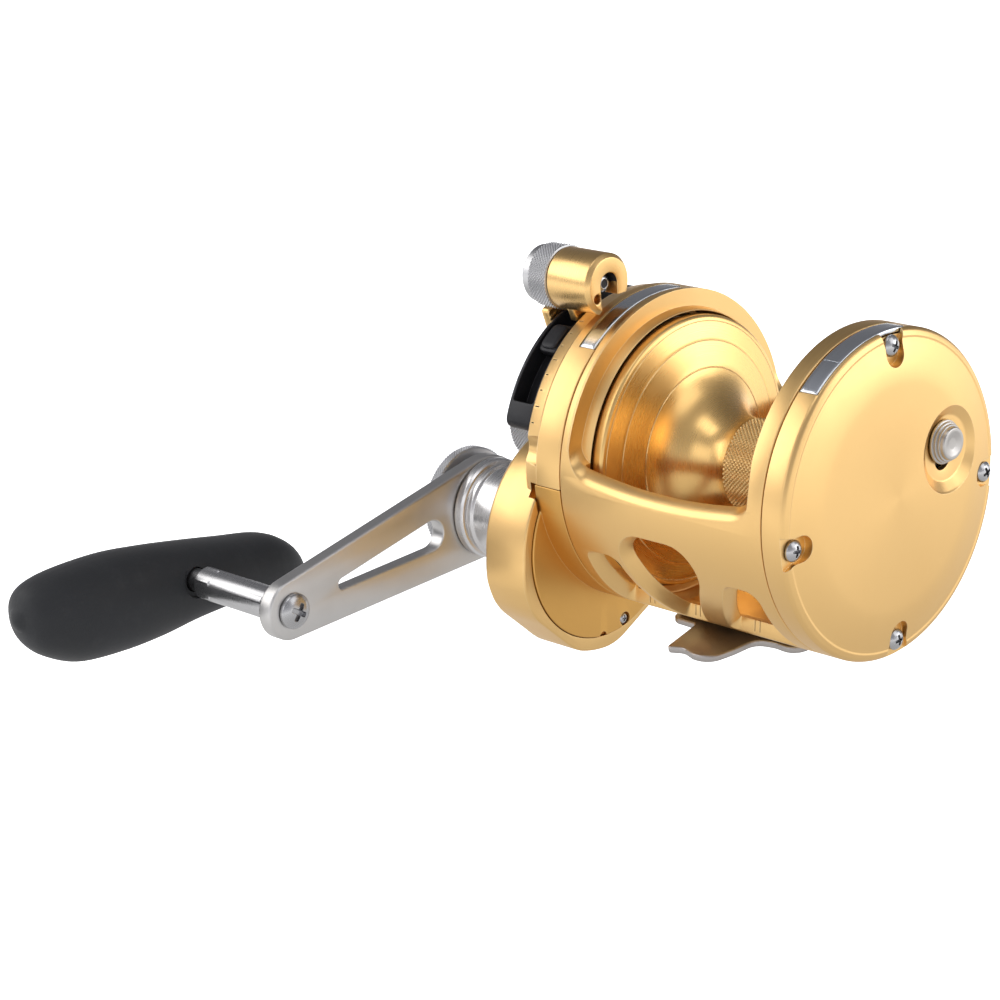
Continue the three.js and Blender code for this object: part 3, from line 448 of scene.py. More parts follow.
class Surface(Tree):
    """Shader tree of a material. Values are numbers, colours or (node, output) pairs."""

    def __init__(self, name):
        self.material = bpy.data.materials.new(name)
        self.material.use_nodes = True
        super().__init__(self.material.node_tree)
        self.shader = self.add("ShaderNodeBsdfPrincipled")
        self.link(self.shader, "BSDF", self.add("ShaderNodeOutputMaterial"), "Surface")

    def feed(self, node, socket, value):
        if isinstance(value, tuple) and not isinstance(value[0], (int, float)):
            self.link(*value, node, socket)
        elif isinstance(value, tuple):
            node.inputs[socket].default_value = (*value[:3], 1)
        else:
            node.inputs[socket].default_value = value

    def set(self, name, value):
        self.feed(self.shader, name, value)

    def math(self, operation, a, b=None):
        node = self.add("ShaderNodeMath", operation)
        self.feed(node, 0, a)
        if b is not None:
            self.feed(node, 1, b)
        return node, 0

    def noise(self, scale, detail, rough, vector=None):
        node = self.add("ShaderNodeTexNoise", Scale=scale, Detail=detail, Roughness=rough)
        self.feed(node, "Vector", vector or (self.place, "Object"))
        return node, "Fac"

    def range(self, value, low, high, start=0.3, end=0.7):
        node = self.add("ShaderNodeMapRange", From_Min=start, From_Max=end, To_Min=low, To_Max=high)
        self.feed(node, "Value", value)
        return node, "Result"

    def mix(self, share, first, second):
        node = self.add("ShaderNodeMix")
        node.data_type = "RGBA"
        for socket, value in ((0, share), (6, first), (7, second)):
            self.feed(node, socket, value)
        return node, 2

    def turned_place(self, y, z):
        """Coordinates (x, radius, angle) about a turning axis given in millimetres from the spool axis."""
        shift = self.add("ShaderNodeVectorMath", "SUBTRACT")
        shift.inputs[1].default_value = (0, y * MM, z * MM + AXIS_Z)
        self.link(self.place, "Object", shift, 0)
        split = self.add("ShaderNodeSeparateXYZ")
        self.link(shift, 0, split, 0)
        y, z = (split, "Y"), (split, "Z")
        square = self.math("ADD", self.math("MULTIPLY", y, y), self.math("MULTIPLY", z, z))
        joint = self.add("ShaderNodeCombineXYZ")
        self.link(split, "X", joint, "X")
        self.link(*self.math("SQRT", square), joint, "Y")
        self.link(*self.math("MULTIPLY", self.math("ARCTAN2", z, y), 0.0004), joint, "Z")
        return joint, "Vector"

    def bevel(self, radius):
        node = self.add("ShaderNodeBevel", Radius=radius)
        node.samples = 4
        return node, "Normal"

    def bump(self, height, strength, distance, edge=0.0):
        """Normal from a height, on top of edges softened by a bevel of the given radius."""
        node = self.add("ShaderNodeBump", Strength=strength, Distance=distance)
        self.feed(node, "Height", height)
        if edge:
            self.feed(node, "Normal", self.bevel(edge))
        self.set("Normal", (node, "Normal"))

    def rubbed_and_lit_edge(self, tint, worn_and_lit, wear_and_highlight, radius):
        """A tint that turns to a lighter colour along sharp edges: partly wear, partly a painted highlight.
        """
        geometry = self.add("ShaderNodeNewGeometry")
        dot = self.add("ShaderNodeVectorMath", "DOT_PRODUCT")
        self.link(*self.bevel(radius), dot, 0)
        self.link(geometry, "Normal", dot, 1)
        sharp = self.range((dot, "Value"), 1.0, 0.0, 0.90, 0.995)
        return self.mix(self.math("MULTIPLY", sharp, wear_and_highlight), tint, worn_and_lit)


def scaled(colour, factor):
    return tuple(part * factor for part in colour)


WEAR_AND_HIGHLIGHT_REACH = 1.6                                # width of the lightened edge, wear and painted highlight, in radii of the soft edge


def turned_metal(name, colour, worn_and_lit, roughness, axis=(0.0, 0.0), edge=0.25, grain=0.25, blotch=0.12,
                 wear_and_highlight=0.5, anisotropy=0.0, painted_hollow_shade=0.0):
    """Machined metal: turning marks about an axis, faint clouds, and edges lightened partly for wear and
    partly as a painted highlight; a share of painted shade darkens the hollows.
    """
    n = Surface(name)
    spun = n.turned_place(*axis)
    marks = n.noise(5200, 3, 0.65, spun)
    wide = n.noise(900, 2, 0.5, spun)
    cloud = n.noise(46, 4, 0.55)
    speck = n.noise(1900, 2, 0.6)
    tint = n.mix(n.range(cloud, 0.0, blotch, 0.35, 0.75), colour, scaled(colour, 0.78))
    # Edges lightened: partly wear, partly a painted highlight.
    base = n.rubbed_and_lit_edge(tint, worn_and_lit, wear_and_highlight, edge * MM * WEAR_AND_HIGHLIGHT_REACH)
    # Painted shade: the hollows, found by low pointiness, are darkened towards a darker copy of the colour.
    if painted_hollow_shade:
        form = n.add("ShaderNodeNewGeometry")
        depth = n.range((form, "Pointiness"), 0.0, 1.0, 0.4, 0.49)
        base = n.mix(depth, scaled(colour, painted_hollow_shade), base)
    n.set("Base Color", base)
    n.set("Metallic", 1.0)
    clouded = n.range(cloud, roughness - 0.03, roughness + 0.05)
    n.set("Roughness", n.math("ADD", clouded, n.range(marks, -0.03, 0.04)))
    if anisotropy:
        n.set("Anisotropic", anisotropy)
        tangent = n.add("ShaderNodeTangent")
        tangent.direction_type = "RADIAL"
        tangent.axis = "X"
        n.set("Tangent", (tangent, "Tangent"))
    rings = n.math("ADD", marks, n.math("MULTIPLY", wide, 0.6))
    n.bump(n.math("ADD", rings, n.math("MULTIPLY", speck, 0.5)), grain, 0.00002, edge * MM)
    return n.material


def blasted_metal(name, colour, worn_and_lit, roughness, wear_and_highlight=0.6, edge=0.3):
    """Bead-blasted or cast metal: an even fine grain, with edges made brighter partly for wear and partly as
    a painted highlight.
    """
    n = Surface(name)
    grain = n.noise(1500, 4, 0.7)
    cloud = n.noise(60, 3, 0.5)
    tint = n.mix(n.range(cloud, 0.0, 0.3), colour, scaled(colour, 0.72))
    n.set("Base Color", n.rubbed_and_lit_edge(tint, worn_and_lit, wear_and_highlight, edge * MM * WEAR_AND_HIGHLIGHT_REACH))
    n.set("Metallic", 1.0)
    clouded = n.range(cloud, roughness - 0.04, roughness + 0.06)
    n.set("Roughness", n.math("ADD", clouded, n.range(grain, -0.04, 0.04)))
    n.bump(grain, 0.35, 0.00003, edge * MM)
    return n.material


def black_anodised():
    n = Surface("black_anodised")
    cloud = n.noise(90, 3, 0.5)
    tint = n.mix(n.range(cloud, 0.0, 1.0), (0.012, 0.012, 0.014), (0.022, 0.022, 0.026))
    # Edges lightened: partly wear, partly a painted highlight.
    n.set("Base Color", n.rubbed_and_lit_edge(tint, (0.12, 0.12, 0.13), 0.35, 0.0004))
    n.set("Roughness", n.range(cloud, 0.36, 0.5))
    n.set("Metallic", 0.35)
    n.bump(n.noise(2600, 3, 0.6), 0.2, 0.00002, 0.00025)
    return n.material


def soft_rubber():
    n = Surface("soft_grip")
    grain = n.noise(2400, 5, 0.75)
    pores = n.add("ShaderNodeTexVoronoi", Scale=1500.0)
    n.link(n.place, "Object", pores, "Vector")
    cloud = n.noise(38, 4, 0.6)
    dust = n.noise(150, 5, 0.7)
    tint = n.mix(n.range(cloud, 0.0, 1.0), (0.010, 0.0115, 0.014), (0.015, 0.017, 0.021))
    n.set("Base Color", n.mix(n.range(dust, 0.0, 0.25, 0.52, 0.8), tint, (0.05, 0.05, 0.052)))
    n.set("Roughness", n.range(cloud, 0.58, 0.72))
    n.set("Sheen Weight", 0.12)
    n.set("Sheen Roughness", 0.45)
    n.bump(n.math("ADD", grain, n.math("MULTIPLY", (pores, "Distance"), 0.6)), 0.45, 0.00005)
    return n.material


def carbon_lining():
    n = Surface("carbon_lining")
    weave = n.add("ShaderNodeTexChecker", Scale=620.0)
    n.link(n.place, "Object", weave, "Vector")
    grain = n.noise(1600, 3, 0.6)
    n.set("Base Color", n.mix((weave, "Fac"), (0.02, 0.02, 0.022), (0.05, 0.05, 0.055)))
    n.set("Roughness", n.range(grain, 0.5, 0.7))
    n.bump(n.math("ADD", (weave, "Fac"), grain), 0.3, 0.00004)
    return n.material


def make_finishes():
    gold, gold_worn_and_lit = (0.87, 0.57, 0.235), (0.98, 0.78, 0.45)
    steel, bright = (0.56, 0.56, 0.57), (0.82, 0.83, 0.85)
    return {
        "gold": turned_metal("gold_anodised", gold, gold_worn_and_lit, 0.33, anisotropy=0.35),
        "gold_case": turned_metal("gold_anodised_case", gold, gold_worn_and_lit, 0.33, GEAR),
        "gold_lever": turned_metal("gold_anodised_lever", gold, gold_worn_and_lit, 0.3, KNOB),
        # The gear cover's gold is a darker copy of the same gold: painted shade.
        "gold_painted_shade": turned_metal("deep_gold_anodised", (0.74, 0.42, 0.12), (0.93, 0.66, 0.3), 0.36, GEAR),
        # Painted shade in the spool's hollows.
        "gold_spool": turned_metal("gold_anodised_spool", (0.96, 0.62, 0.235), gold_worn_and_lit, 0.27,
                                   grain=0.1, anisotropy=0.3, painted_hollow_shade=0.25),
        "chrome": turned_metal("polished_chrome", (0.70, 0.73, 0.77), (0.95, 0.97, 1.0), 0.2,
                               grain=0.05, blotch=0.05, wear_and_highlight=0.7, edge=0.12),
        # Painted shade in the knurl's grooves.
        "knurl": turned_metal("knurled_chrome", (0.60, 0.60, 0.61), (0.85, 0.86, 0.88), 0.34,
                              grain=0.08, wear_and_highlight=0.2, edge=0.03, painted_hollow_shade=0.15),
        "steel": turned_metal("stainless_steel", steel, bright, 0.28, GRIP, grain=0.3, wear_and_highlight=0.4),
        "collar": turned_metal("stainless_collar", (0.74, 0.73, 0.73), bright, 0.27, GEAR, wear_and_highlight=0.45,
                               anisotropy=0.4),
        "screw": turned_metal("stainless_screw", (0.5, 0.5, 0.51), bright, 0.24, edge=0.1),
        "button": turned_metal("stainless_button", (0.5, 0.48, 0.46), (0.8, 0.78, 0.75), 0.3, CLICK,
                               edge=0.08),
        "arm": blasted_metal("titanium_anodised", (0.66, 0.65, 0.64), (0.9, 0.89, 0.88), 0.38, 0.75, 0.45),
        "foot": blasted_metal("grey_stainless", (0.45, 0.42, 0.40), (0.68, 0.66, 0.65), 0.4),
        "brass": turned_metal("gear_brass", (0.6, 0.42, 0.18), (0.85, 0.68, 0.38), 0.3),
        "black": black_anodised(),
        "rubber": soft_rubber(),
        "carbon": carbon_lining(),
    }


FINISH = make_finishes()


# ---------- frame and foot ----------

WINDOWS = [
    [(-31.5, 204, 3.5), (-20, 203.5, 4.5), (-12.6, 240, 2.5), (-33.5, 240, 2.5)],
    [(-19.8, 191.8, 9), (15.8, 191.8, 9), (-3, 240.5, 2.6), (-12, 240.5, 2.6)],
    [(19.6, 203.2, 4.5), (31, 203.2, 4.5), (31, 238, 2.5), (6, 238, 2.5)],
]


def line_opening():
    """Cutter for the line opening: a slot from front to rear with an arched, rounded-off lower edge.

    The handle-side ring keeps a low spigot inside the slot.
    """
    mouth = [(-60, 9), (-46.3, 4.3), (-46, 3.5), (-45.7, 2.8), (-45.2, 2.0), (-44.7, 1.45), (-42.6, 0.15),
             (-42, 0)]
    levels = mouth + [(-y, grow) for y, grow in reversed(mouth)]
    grow_at = dict(levels)
    corners = [(-RING_FACE_X, BAR_TOP, 5), (RING_IN_TAIL, BAR_TOP, 5), (RING_IN_TAIL, 60, 1),
               (-RING_FACE_X, 60, 1)]

    def place(u, v, w):
        if u < 0:
            u *= RING_FACE_X / (RING_FACE_X + grow_at[w])
        return min(u, RING_IN_TAIL + 0.7), w, v + BAR_ARCH * u * u
    slot = loft(corners, levels, place, steps=10, longest=1.5)
    spigot = turned([(-38, 41.0), (-RING_FACE_X, 40.95, 0.35), (-RING_IN_HANDLE, 40.25, 0.3)], FINE)
    return cut(slot, spigot)


def shell_window(corners):
    """Cutter for a window in the frame, wider outside than inside; corners are (x, degrees, radius)."""
    bevel = 2.4
    flat = [(x, surface(degrees), radius) for x, degrees, radius in corners]
    levels = [(30, -bevel), (SHELL_IN_R - 0.4, -bevel), (SHELL_IN_R + 0.1, -bevel + 0.2),
              (BODY_R - 0.3, -0.35), (BODY_R - 0.08, -0.1), (BODY_R + 0.2, 0.3), (60, 0.3)]
    return loft(flat, levels, round_axis, steps=8, longest=1.2)


def shell_shape():
    """The frame's two rings and the wall between them, without its openings."""
    w, soft = FRAME_X, 0.35
    return turned([
        (-w, RING_HOLE_R, soft), (-w, BODY_R, soft), (w, BODY_R, soft), (w, RING_HOLE_R, soft),
        (RING_IN_TAIL, RING_HOLE_R, soft), (RING_IN_TAIL, SHELL_IN_R, 0.5),
        (-RING_IN_HANDLE, SHELL_IN_R, 0.5), (-RING_IN_HANDLE, RING_HOLE_R, soft)], FINE, steps=3, closed=True)


def ring_rounding():
    """Cutter that rounds off the handle-side ring's face above the line opening's edge."""
    x = -RING_FACE_X
    band = turned([(x - 0.95, BODY_R + 0.15), (x - 0.55, BODY_R - 0.15, 0.5), (x - 0.1, BODY_R - 0.75, 0.5),
                   (x + 0.1, BODY_R + 0.15)], FINE, closed=True)
    return cut(band, prism(box_corners(-60, 60, -60, 10.5, 0.5), -60, 0, 0.01))


def frame_shape():
    """Shell with its line opening, windows and fine lines, and the pad that carries the foot."""
    mirrored = [[(x, 540 - degrees, r) for x, degrees, r in reversed(corners)] for corners in WINDOWS]
    windows = [shell_window(corners) for corners in WINDOWS + mirrored]
    pad = prism(box_corners(-22, 21, -11.5, 11.5, 2), FOOT_TOP + 0.3, -41, 0.2, along_z)
    below = loft(box_corners(-29.6, 29.6, -40, 40, 1), [(-60, 0), (FOOT_TOP + 0.3, 0)], along_z)
    shell = joined(cut(shell_shape(), line_opening(), *windows), pad)
    lines = []
    for x in (-25.4, -23.6, -8.4, -6.8, 14.6, 16.4):
        for low, high in ((234, 241), (299, 306)):
            line = box_corners(x - 0.12, x + 0.12, surface(low), surface(high), 0.05)
            lines.append(loft(line, [(41.5, 0), (45.2, 0)], round_axis, longest=2))
    return cut(shell, below, ring_rounding(), *lines)


FOOT_FRONT = [
    (-24, -11, 4), (-22.6, -17.3, 3.4), (-13.2, -17.7, 1.2), (-8.6, -34.6, 0.6), (-7.4, -35.4, 0.6),
    (-3.6, -33.6, 3), (1.2, -35.5, 5), (7.2, -35.2, 5), (8.3, -26, 8), (8.3, -17, 3.5), (14, -15.6, 8),
    (22.2, -16.8, 4.5), (22.5, -9, 6),
]
FOOT_SCREWS = [(-17, -8), (-17, 8), (17, -8), (17, 8)]


def foot_shape():
    corners = FOOT_FRONT + [(x, -y, r) for x, y, r in reversed(FOOT_FRONT)]
    plate = prism(corners, FOOT_LOW, FOOT_TOP, 0.5, along_z)
    levels = [(FOOT_LOW - 1, 2.3), (FOOT_LOW + 0.3, 2.2), (FOOT_LOW + 1.9, 0.8), (FOOT_LOW + 3, 0.8)]
    sinks = [moved(loft(circle_corners(1), levels, along_z, steps=10), x, y) for x, y in FOOT_SCREWS]
    return cut(plate, *sinks)


def foot_screw_shape(x, y):
    """Countersunk slotted screw, head down."""
    low = span("foot_screw_1")[2][0]
    levels = [(low, 1.8), (low + 0.1, 1.9), (low + 1.6, 0.5), (low + 5.2, 0.5)]
    body = loft(circle_corners(1), levels, along_z, steps=10)
    slot = loft(box_corners(-3.5, 3.5, -0.4, 0.4, 0.1), [(low - 1, 0), (low + 0.7, 0)], along_z)
    return moved(cut(body, slot), x, y)


def add_frame():
    place_piece(frame_shape(), "frame", "gold")
    place_piece(foot_shape(), "foot", "foot")
    for number, (x, y) in enumerate(FOOT_SCREWS, 1):
        place_piece(foot_screw_shape(x, y), f"foot_screw_{number}", "screw")


# ---------- screws with cross recesses ----------

def cross_screw(head_r, head_t, shank_r, length, x, y, z, away=1, turn=0.0):
    """Domed screw with a cross recess. away is the direction its head points along x."""
    head = [(0, head_r, 0.15), (head_t * 0.35, head_r, head_r * 0.18), (head_t * 0.82, head_r * 0.72, head_r),
            (head_t, head_r * 0.25, head_r)]
    body = joined(turned(head, SMALL), disc(shank_r, -length, 0.05))
    width, reach = head_r * 0.17, head_r * 0.56
    recess = []
    for quarter in (45, 135):
        bar = loft(box_corners(-reach, reach, -width, width, width * 0.6),
                   [(head_t * 0.3, -width * 0.35), (head_t + 1, 0.05)], steps=3)
        recess.append(moved(bar, turn_x=quarter + turn))
    screw = cut(body, *recess)
    if away < 0:
        screw.data.transform(Matrix.Rotation(math.pi, 4, "Z"))
    return moved(screw, x, y, z)


# ---------- tail plate ----------

TAIL_SCREWS = [88.5, 185, 271, 354]
TAIL_SCREW_R = 41.6


def strip_corners(x0, x1, grow=0.0):
    reach = 0.4 * grow
    return box_corners(x0 - grow, x1 + grow, surface(80) - reach, surface(129.5) + reach, 0.35)


def strip_seat(node):
    """Cutter for the seat of a chromed strip."""
    corners = strip_corners(*span(node)[0], 0.25)
    return loft(corners, [(STRIP_FLOOR, 0), (50, 0)], round_axis, longest=1.5)


def strip_shape(node, groove=None):
    """Chromed strip in a plate's edge; groove is the angle of a fine line across it."""
    x0, x1 = span(node)[0]
    band = prism(strip_corners(x0, x1), STRIP_FLOOR + 0.25, BODY_R + 0.05, 0.4, round_axis, 3, 1.0)
    if groove is None:
        return band
    corners = box_corners(x0 - 1, x1 + 1, surface(groove) - 0.11, surface(groove) + 0.11, 0.05)
    return cut(band, loft(corners, [(BODY_R - 0.35, 0), (BODY_R + 2, 0)], round_axis))


def tail_plate_shape():
    """Domed plate with four screw notches, a dish and a slot for the clicker, and a seat for its strip."""
    dome = [(45.8 - 1.8 * (r - 31) ** 1.5 / 12 ** 1.5, r) for r in range(42, 31, -1)]
    dome += [(46.2 - 0.4 * (r / 31) ** 2, r) for r in range(31, 0, -2)]
    edge = [(43, 0), (41.6, 38.5, 0.4), (PLATE_X0, 38.5, 0.3), (PLATE_X0, BODY_R, 0.3), (42.7, BODY_R, 1.2),
            (43.6, 45.2, 1.4), (44.08, 43.8, 0.5), (43.97, 43.2, 0.3)]
    plate = revolve(rounded(edge + dome + [(46.2, 0)], 5), FINE)
    tools = [disc(SHAFT_HOLE_R, 36, 42)]
    side = [(-5.6, 3.7, 3.6), (0.5, 3.7, 3), (9, 6.3, 0.4)]
    corners = [(u, -v, r) for u, v, r in side] + side[::-1]
    for degrees in TAIL_SCREWS:
        y, z = on_circle(TAIL_SCREW_R, degrees)
        notch = pocket(corners, 42.7, 46.4, 0.35, steps=8)
        tools += [moved(notch, y=y, z=z, turn_x=degrees), disc(SCREW_HOLE_R, 30, 50, y, z)]
    dish = [(43.9, 9.3, 1.2), (45.6, 12.0, 2.5), (46.6, 13.2, 1), (48, 15)]
    tools.append(turned(dish, ROUND, *DISH, 6))
    slot = box_corners(CLICK_Y - CLICK_SLOT_R, CLICK_Y + CLICK_SLOT_R, CLICK_Z - CLICK_SLOT_R - CLICK_TRAVEL,
                       CLICK_Z + CLICK_SLOT_R, CLICK_SLOT_R - 0.05)
    tools.append(pocket(slot, 38, 43.9, 0.25, steps=10))
    return cut(joined(plate, ring(7, SHAFT_HOLE_R, 36.6, 43.6)), *tools, strip_seat("tail_strip"))


def clicker_button_shape():
    """Stepped cone whose three rings are finely serrated."""
    profile, serrated = [(44.2, 1.6), (44.2, 6.0)], []
    for step in range(3):
        radius, start = 6.25 - 0.5 * step, 44.3 + 0.85 * step
        for x, inset in ((0, 0.15), (0.1, 0), (0.6, 0), (0.7, 0.15), (0.74, 0.5)):
            profile.append((start + x, radius - inset))
        serrated.append((start + 0.09, start + 0.61))
    profile += rounded([(46.95, 4.7), (47.9, 4.5, 0.5), (47.9, 3.5, 0.4), (47.35, 1.6, 1.5), (47.3, 0)], 5)
    teeth, tooth_depth = 144, 0.018
    button = revolve(profile + [(45, 0), (45, 1.6)], teeth)
    for vertex in button.data.vertices:
        x, y, z = vertex.co
        number = round(math.atan2(z, y) / TAU * teeth)
        if number % 2 and any(low < x < high for low, high in serrated):
            vertex.co = x, y * (1 - tooth_depth), z * (1 - tooth_depth)
    return moved(button, y=CLICK_Y, z=CLICK_Z)


def clicker_pawl_shape():
    plate = prism(box_corners(-5, 5, -12, 8, 0.6), 40, 41.2, 0.2)
    return moved(joined(plate, disc(1.3, 41, 44.7), disc(1.5, 32, 40.2, y=2.6)), y=CLICK_Y, z=CLICK_Z)


def add_screws(kind, places, x, sizes, turn, away=1):
    """One screw at each (y, z), each with its cross turned a little further than the last."""
    for number, (y, z) in enumerate(places, 1):
        place_piece(cross_screw(*sizes, x, y, z, away, turn * number), f"{kind}_{number}", "screw")


def add_tail():
    place_piece(tail_plate_shape(), "tail_plate", "gold")
    place_piece(strip_shape("tail_strip", 115), "tail_strip", "chrome")
    places = [on_circle(TAIL_SCREW_R, degrees) for degrees in TAIL_SCREWS]
    add_screws("tail_screw", places, 42.9, (3.0, 2.0, 1.5, 10), 17)
    place_piece(clicker_button_shape(), "clicker_button", "button")
    place_piece(clicker_pawl_shape(), "clicker_pawl", "screw")


# ---------- handle-side plate, gear case and cover ----------

COVER_TOP, COVER_END = 181.7, 262               # where the cover's rim starts and ends, in degrees
SIDE_PLACES = [on_circle(42.6, degrees) for degrees in (12, 342, 312)]
COVER_PLACES = [on_circle(27.9, degrees, *GEAR) for degrees in (283, 5, 105)]
DOG_PLACES = [on_circle(21.5, degrees, *GEAR) for degrees in (205, 325)]


def case_radius(degrees):
    """Outline of the gear case about the crank shaft: round, with a flat at the lower front."""
    if 185 < degrees < 275:
        low, high = 32.2, 34.0
        flat = low / math.cos(math.radians(degrees - 227))
        blend = 1 / (1 + math.exp(-(flat - 33.9) * 6))
        return max(min(34.1, flat) * (1 - blend) + high * blend, low)
    if 275 <= degrees <= 312:
        back = (312 - degrees) / 37
        return 33.0 + back - 1.6 * math.sin(math.pi * back)
    return 33.0


def case_solid(levels):
    """Solid with the gear case's smoothed outline; levels are (x, inset)."""
    smooth = []
    for degrees in range(0, 360, 2):
        window = [case_radius((degrees + d) % 360) for d in range(-6, 7, 2)]
        smooth.append(sum(window) / len(window))
    return skin([[(x, *on_circle(radius - inset, 2 * k, *GEAR)) for k, radius in enumerate(smooth)]
                 for x, inset in levels])


def case_body():
    """Rim, gear case and its round boss, hollow on the spool side, with the posts inside."""
    rim = turned([
        (-PLATE_X0, 40.5, 0.3), (-PLATE_X0, BODY_R, 0.3), (-45.1, BODY_R, 0.4), (-45.7, 45.75, 0.5),
        (RIM_X, 44.9, 0.8), (RIM_X, 3), (-45, 3), (-45, 40.5, 0.3)], FINE, closed=True)
    inner = COVER_X - 0.6
    drum = case_solid([(CASE_X, 1.5), (CASE_X + 0.15, 0.9), (CASE_X + 0.5, 0.4), (CASE_X + 1.1, 0.08),
                       (CASE_X + 1.5, 0), (inner - 0.8, 0), (inner - 0.35, 0.1), (inner - 0.1, 0.35),
                       (inner, 0.7)])
    cap = turned([(-58, 30.5), (CASE_X, 30.5, 1), (-65.5, 28, 4), (CASE_BOSS_X + 0.9, 22.3, 1.5),
                  (CASE_BOSS_X, 21, 0.6)], MIDDLING, *GEAR, 5)
    start, end, outside = surface(28), surface(184), CASE_X - 0.2
    lever_room = loft([(start, 1, 0.2), (end, 1, 0.2), (end, 70, 1), (start, 70, 1)],
                      [(-80, 0), (outside, 0)], arc_along_x, longest=2)
    cap = cut(cap, lever_room, disc(13.4, -80, outside, segments=ROUND))
    body = joined(rim, drum, cap, disc(16, CASE_X + 0.4, RIM_X + 1, segments=ROUND))
    body = cut(body, disc(COVER_R + 0.25, CASE_X + CASE_WALL, -44, *GEAR, MIDDLING),
               disc(12.3, CASE_X + CASE_WALL + 0.3, -46))
    posts = [disc(1.9, CASE_X + 0.2, COVER_X - 3.3, *place) for place in COVER_PLACES]
    posts += [disc(1.2, CASE_X + 0.2, -58, *place) for place in DOG_PLACES]
    return joined(body, *posts)


def side_plate_shape():
    tools = [disc(10.3, -48.5, -44), disc(11.3, CASE_BOSS_X + CASE_WALL, CASE_X + 2, *GEAR),
             disc(CRANK_HOLE_R, -75, -50, *GEAR), disc(SHAFT_HOLE_R, -75, -40), strip_seat("side_strip")]
    low, high = surface(COVER_TOP - 0.3), surface(COVER_END + 0.3)
    tools.append(loft([(low, 36, 0.2), (high, 36, 0.2), (high, 46.6, 0.2), (low, 46.6, 0.2)],
                      [(COVER_X - 3.3, 0), (-30, 0)], arc_along_x, longest=1.5))
    tools.append(turned([(-53, 5.8), (-45.5, 5.8, 0.6)], ROUND, *on_circle(49.4, 169.5)))
    for place in SIDE_PLACES:
        tools += [disc(SCREW_HOLE_R, -60, -30, *place), disc(3.3, -60, -48.4, *place)]
    tools += [disc(COVER_HOLE_R, -56, -45, *place) for place in COVER_PLACES]
    return cut(cut(case_body(), *tools), *scale_ticks())


def scale_ticks():
    """Plain index marks cut into the rim beside the lever's arc, every third one longer."""
    ticks = []
    for number, degrees in enumerate(range(46, 164, 6)):
        length = 1.1 if number % 3 else 1.9
        corners = box_corners(-49.6, -49.6 + length, surface(degrees) - 0.14, surface(degrees) + 0.14, 0.1)
        ticks.append(loft(corners, [(44.78, 0), (48, 0)], round_axis, steps=3))
    return ticks


def gear_cover_shape():
    face = turned([(COVER_X - 3, COVER_R, 0.3), (COVER_X, COVER_R, 0.35)], MIDDLING, *GEAR)
    low, high = surface(COVER_TOP), surface(COVER_END)
    corners = [(low, 41, 0.2), (high, 41, 0.2), (high, BODY_R, 0.25), (low, BODY_R, 0.25)]
    rim = prism(corners, COVER_X - 1, -PLATE_X0, 0.2, arc_along_x, longest=1.2)
    tools = [disc(9.3, -50, COVER_X - 0.8, *GEAR), disc(10.3, -50, -40)]
    for place in COVER_PLACES:
        tools += [disc(COVER_HOLE_R, -50, -40, *place), disc(2.1, COVER_X - 1.6, -40, *place)]
    tools.append(disc(1.5, COVER_X - 1.4, -40, *on_circle(COVER_R + 0.2, 264, *GEAR)))
    return cut(joined(face, rim), *tools)


def on_case(point, face):
    from_gear = math.hypot(point.y - GEAR_Y, point.z - GEAR_Z)
    return point.x < -51 or (math.hypot(point.y, point.z) > 46.5 and from_gear < 40)


def in_tick(point, face):
    """True on the floor and ends of an index mark; those faces are small."""
    reach = math.hypot(point.y, point.z)
    near = -49.7 < point.x < -47.6 and 44.2 < reach < 45.15 and point.z > 8
    return near and face.area < 1.2e-6 and (reach < 44.85 or abs(face.normal.x) > 0.9)


def add_handle_plate():
    plate = place_piece(side_plate_shape(), "side_plate", "gold")
    paint_faces(plate, "gold_case", on_case)
    paint_faces(plate, "black", in_tick)
    # The gear cover takes the darker gold: painted shade.
    place_piece(gear_cover_shape(), "gear_cover", "gold_painted_shade")
    place_piece(strip_shape("side_strip"), "side_strip", "chrome")
    add_screws("side_screw", SIDE_PLACES, -48.7, (2.8, 1.8, 1.5, 15), 23, away=-1)
    add_screws("cover_screw", COVER_PLACES, COVER_X - 1.3, (1.8, 1.2, 0.9, 6), 31)


# ---------- spool ----------

ARBOR_R = 12.9
FILLET_X, FILLET_R, FILLET_SWEEP = 6.4, 18.0, 76.0      # middle, radius and sweep of the arbor's fillet
FILLET_STEPS = 152
CONE_X, CONE_R = 26.8, 38.3                             # outer end of the flange's cone
CONE_GROOVES = (37.6, 32.2)                             # radii of two turned grooves
GROOVE_DEPTH = 0.14

INNER_FINISH = {
    "screw": ("click_gear", "drag_plate", "spool_shaft", "pinion_bearing", "spool_bearing_tail",
              "spool_bearing_handle", "spring_washer_1", "spring_washer_2", "shift_key"),
    "brass": ("pinion_high", "pinion_low", "reverse_dog_1", "reverse_dog_2"),
    "collar": ("main_gear_high", "main_gear_low", "ratchet_wheel", "shaft_bearing_outer",
               "shaft_bearing_inner", "crank_shaft"),
    "carbon": ("drag_lining",),
}


def fillet_point(degrees, depth=0.0):
    """Point (x, radius) of the tail side's fillet, cut in by depth."""
    turn, reach = math.radians(degrees), FILLET_R + depth
    return FILLET_X + reach * math.sin(turn), ARBOR_R + FILLET_R - reach * math.cos(turn)


def cone_points():
    """The tail side's cone down to the fillet, in shorter steps near its grooves."""
    low_x, low_r = fillet_point(FILLET_SWEEP)
    points, radius = [], CONE_R
    while radius > low_r:
        share = (radius - low_r) / (CONE_R - low_r)
        from_groove = min(abs(radius - groove) for groove in CONE_GROOVES)
        depth = GROOVE_DEPTH if from_groove < 0.06 else 0.0
        points.append((low_x + (CONE_X - low_x) * share + depth, radius))
        radius -= 0.12 if from_groove < 0.35 else 0.5
    return points


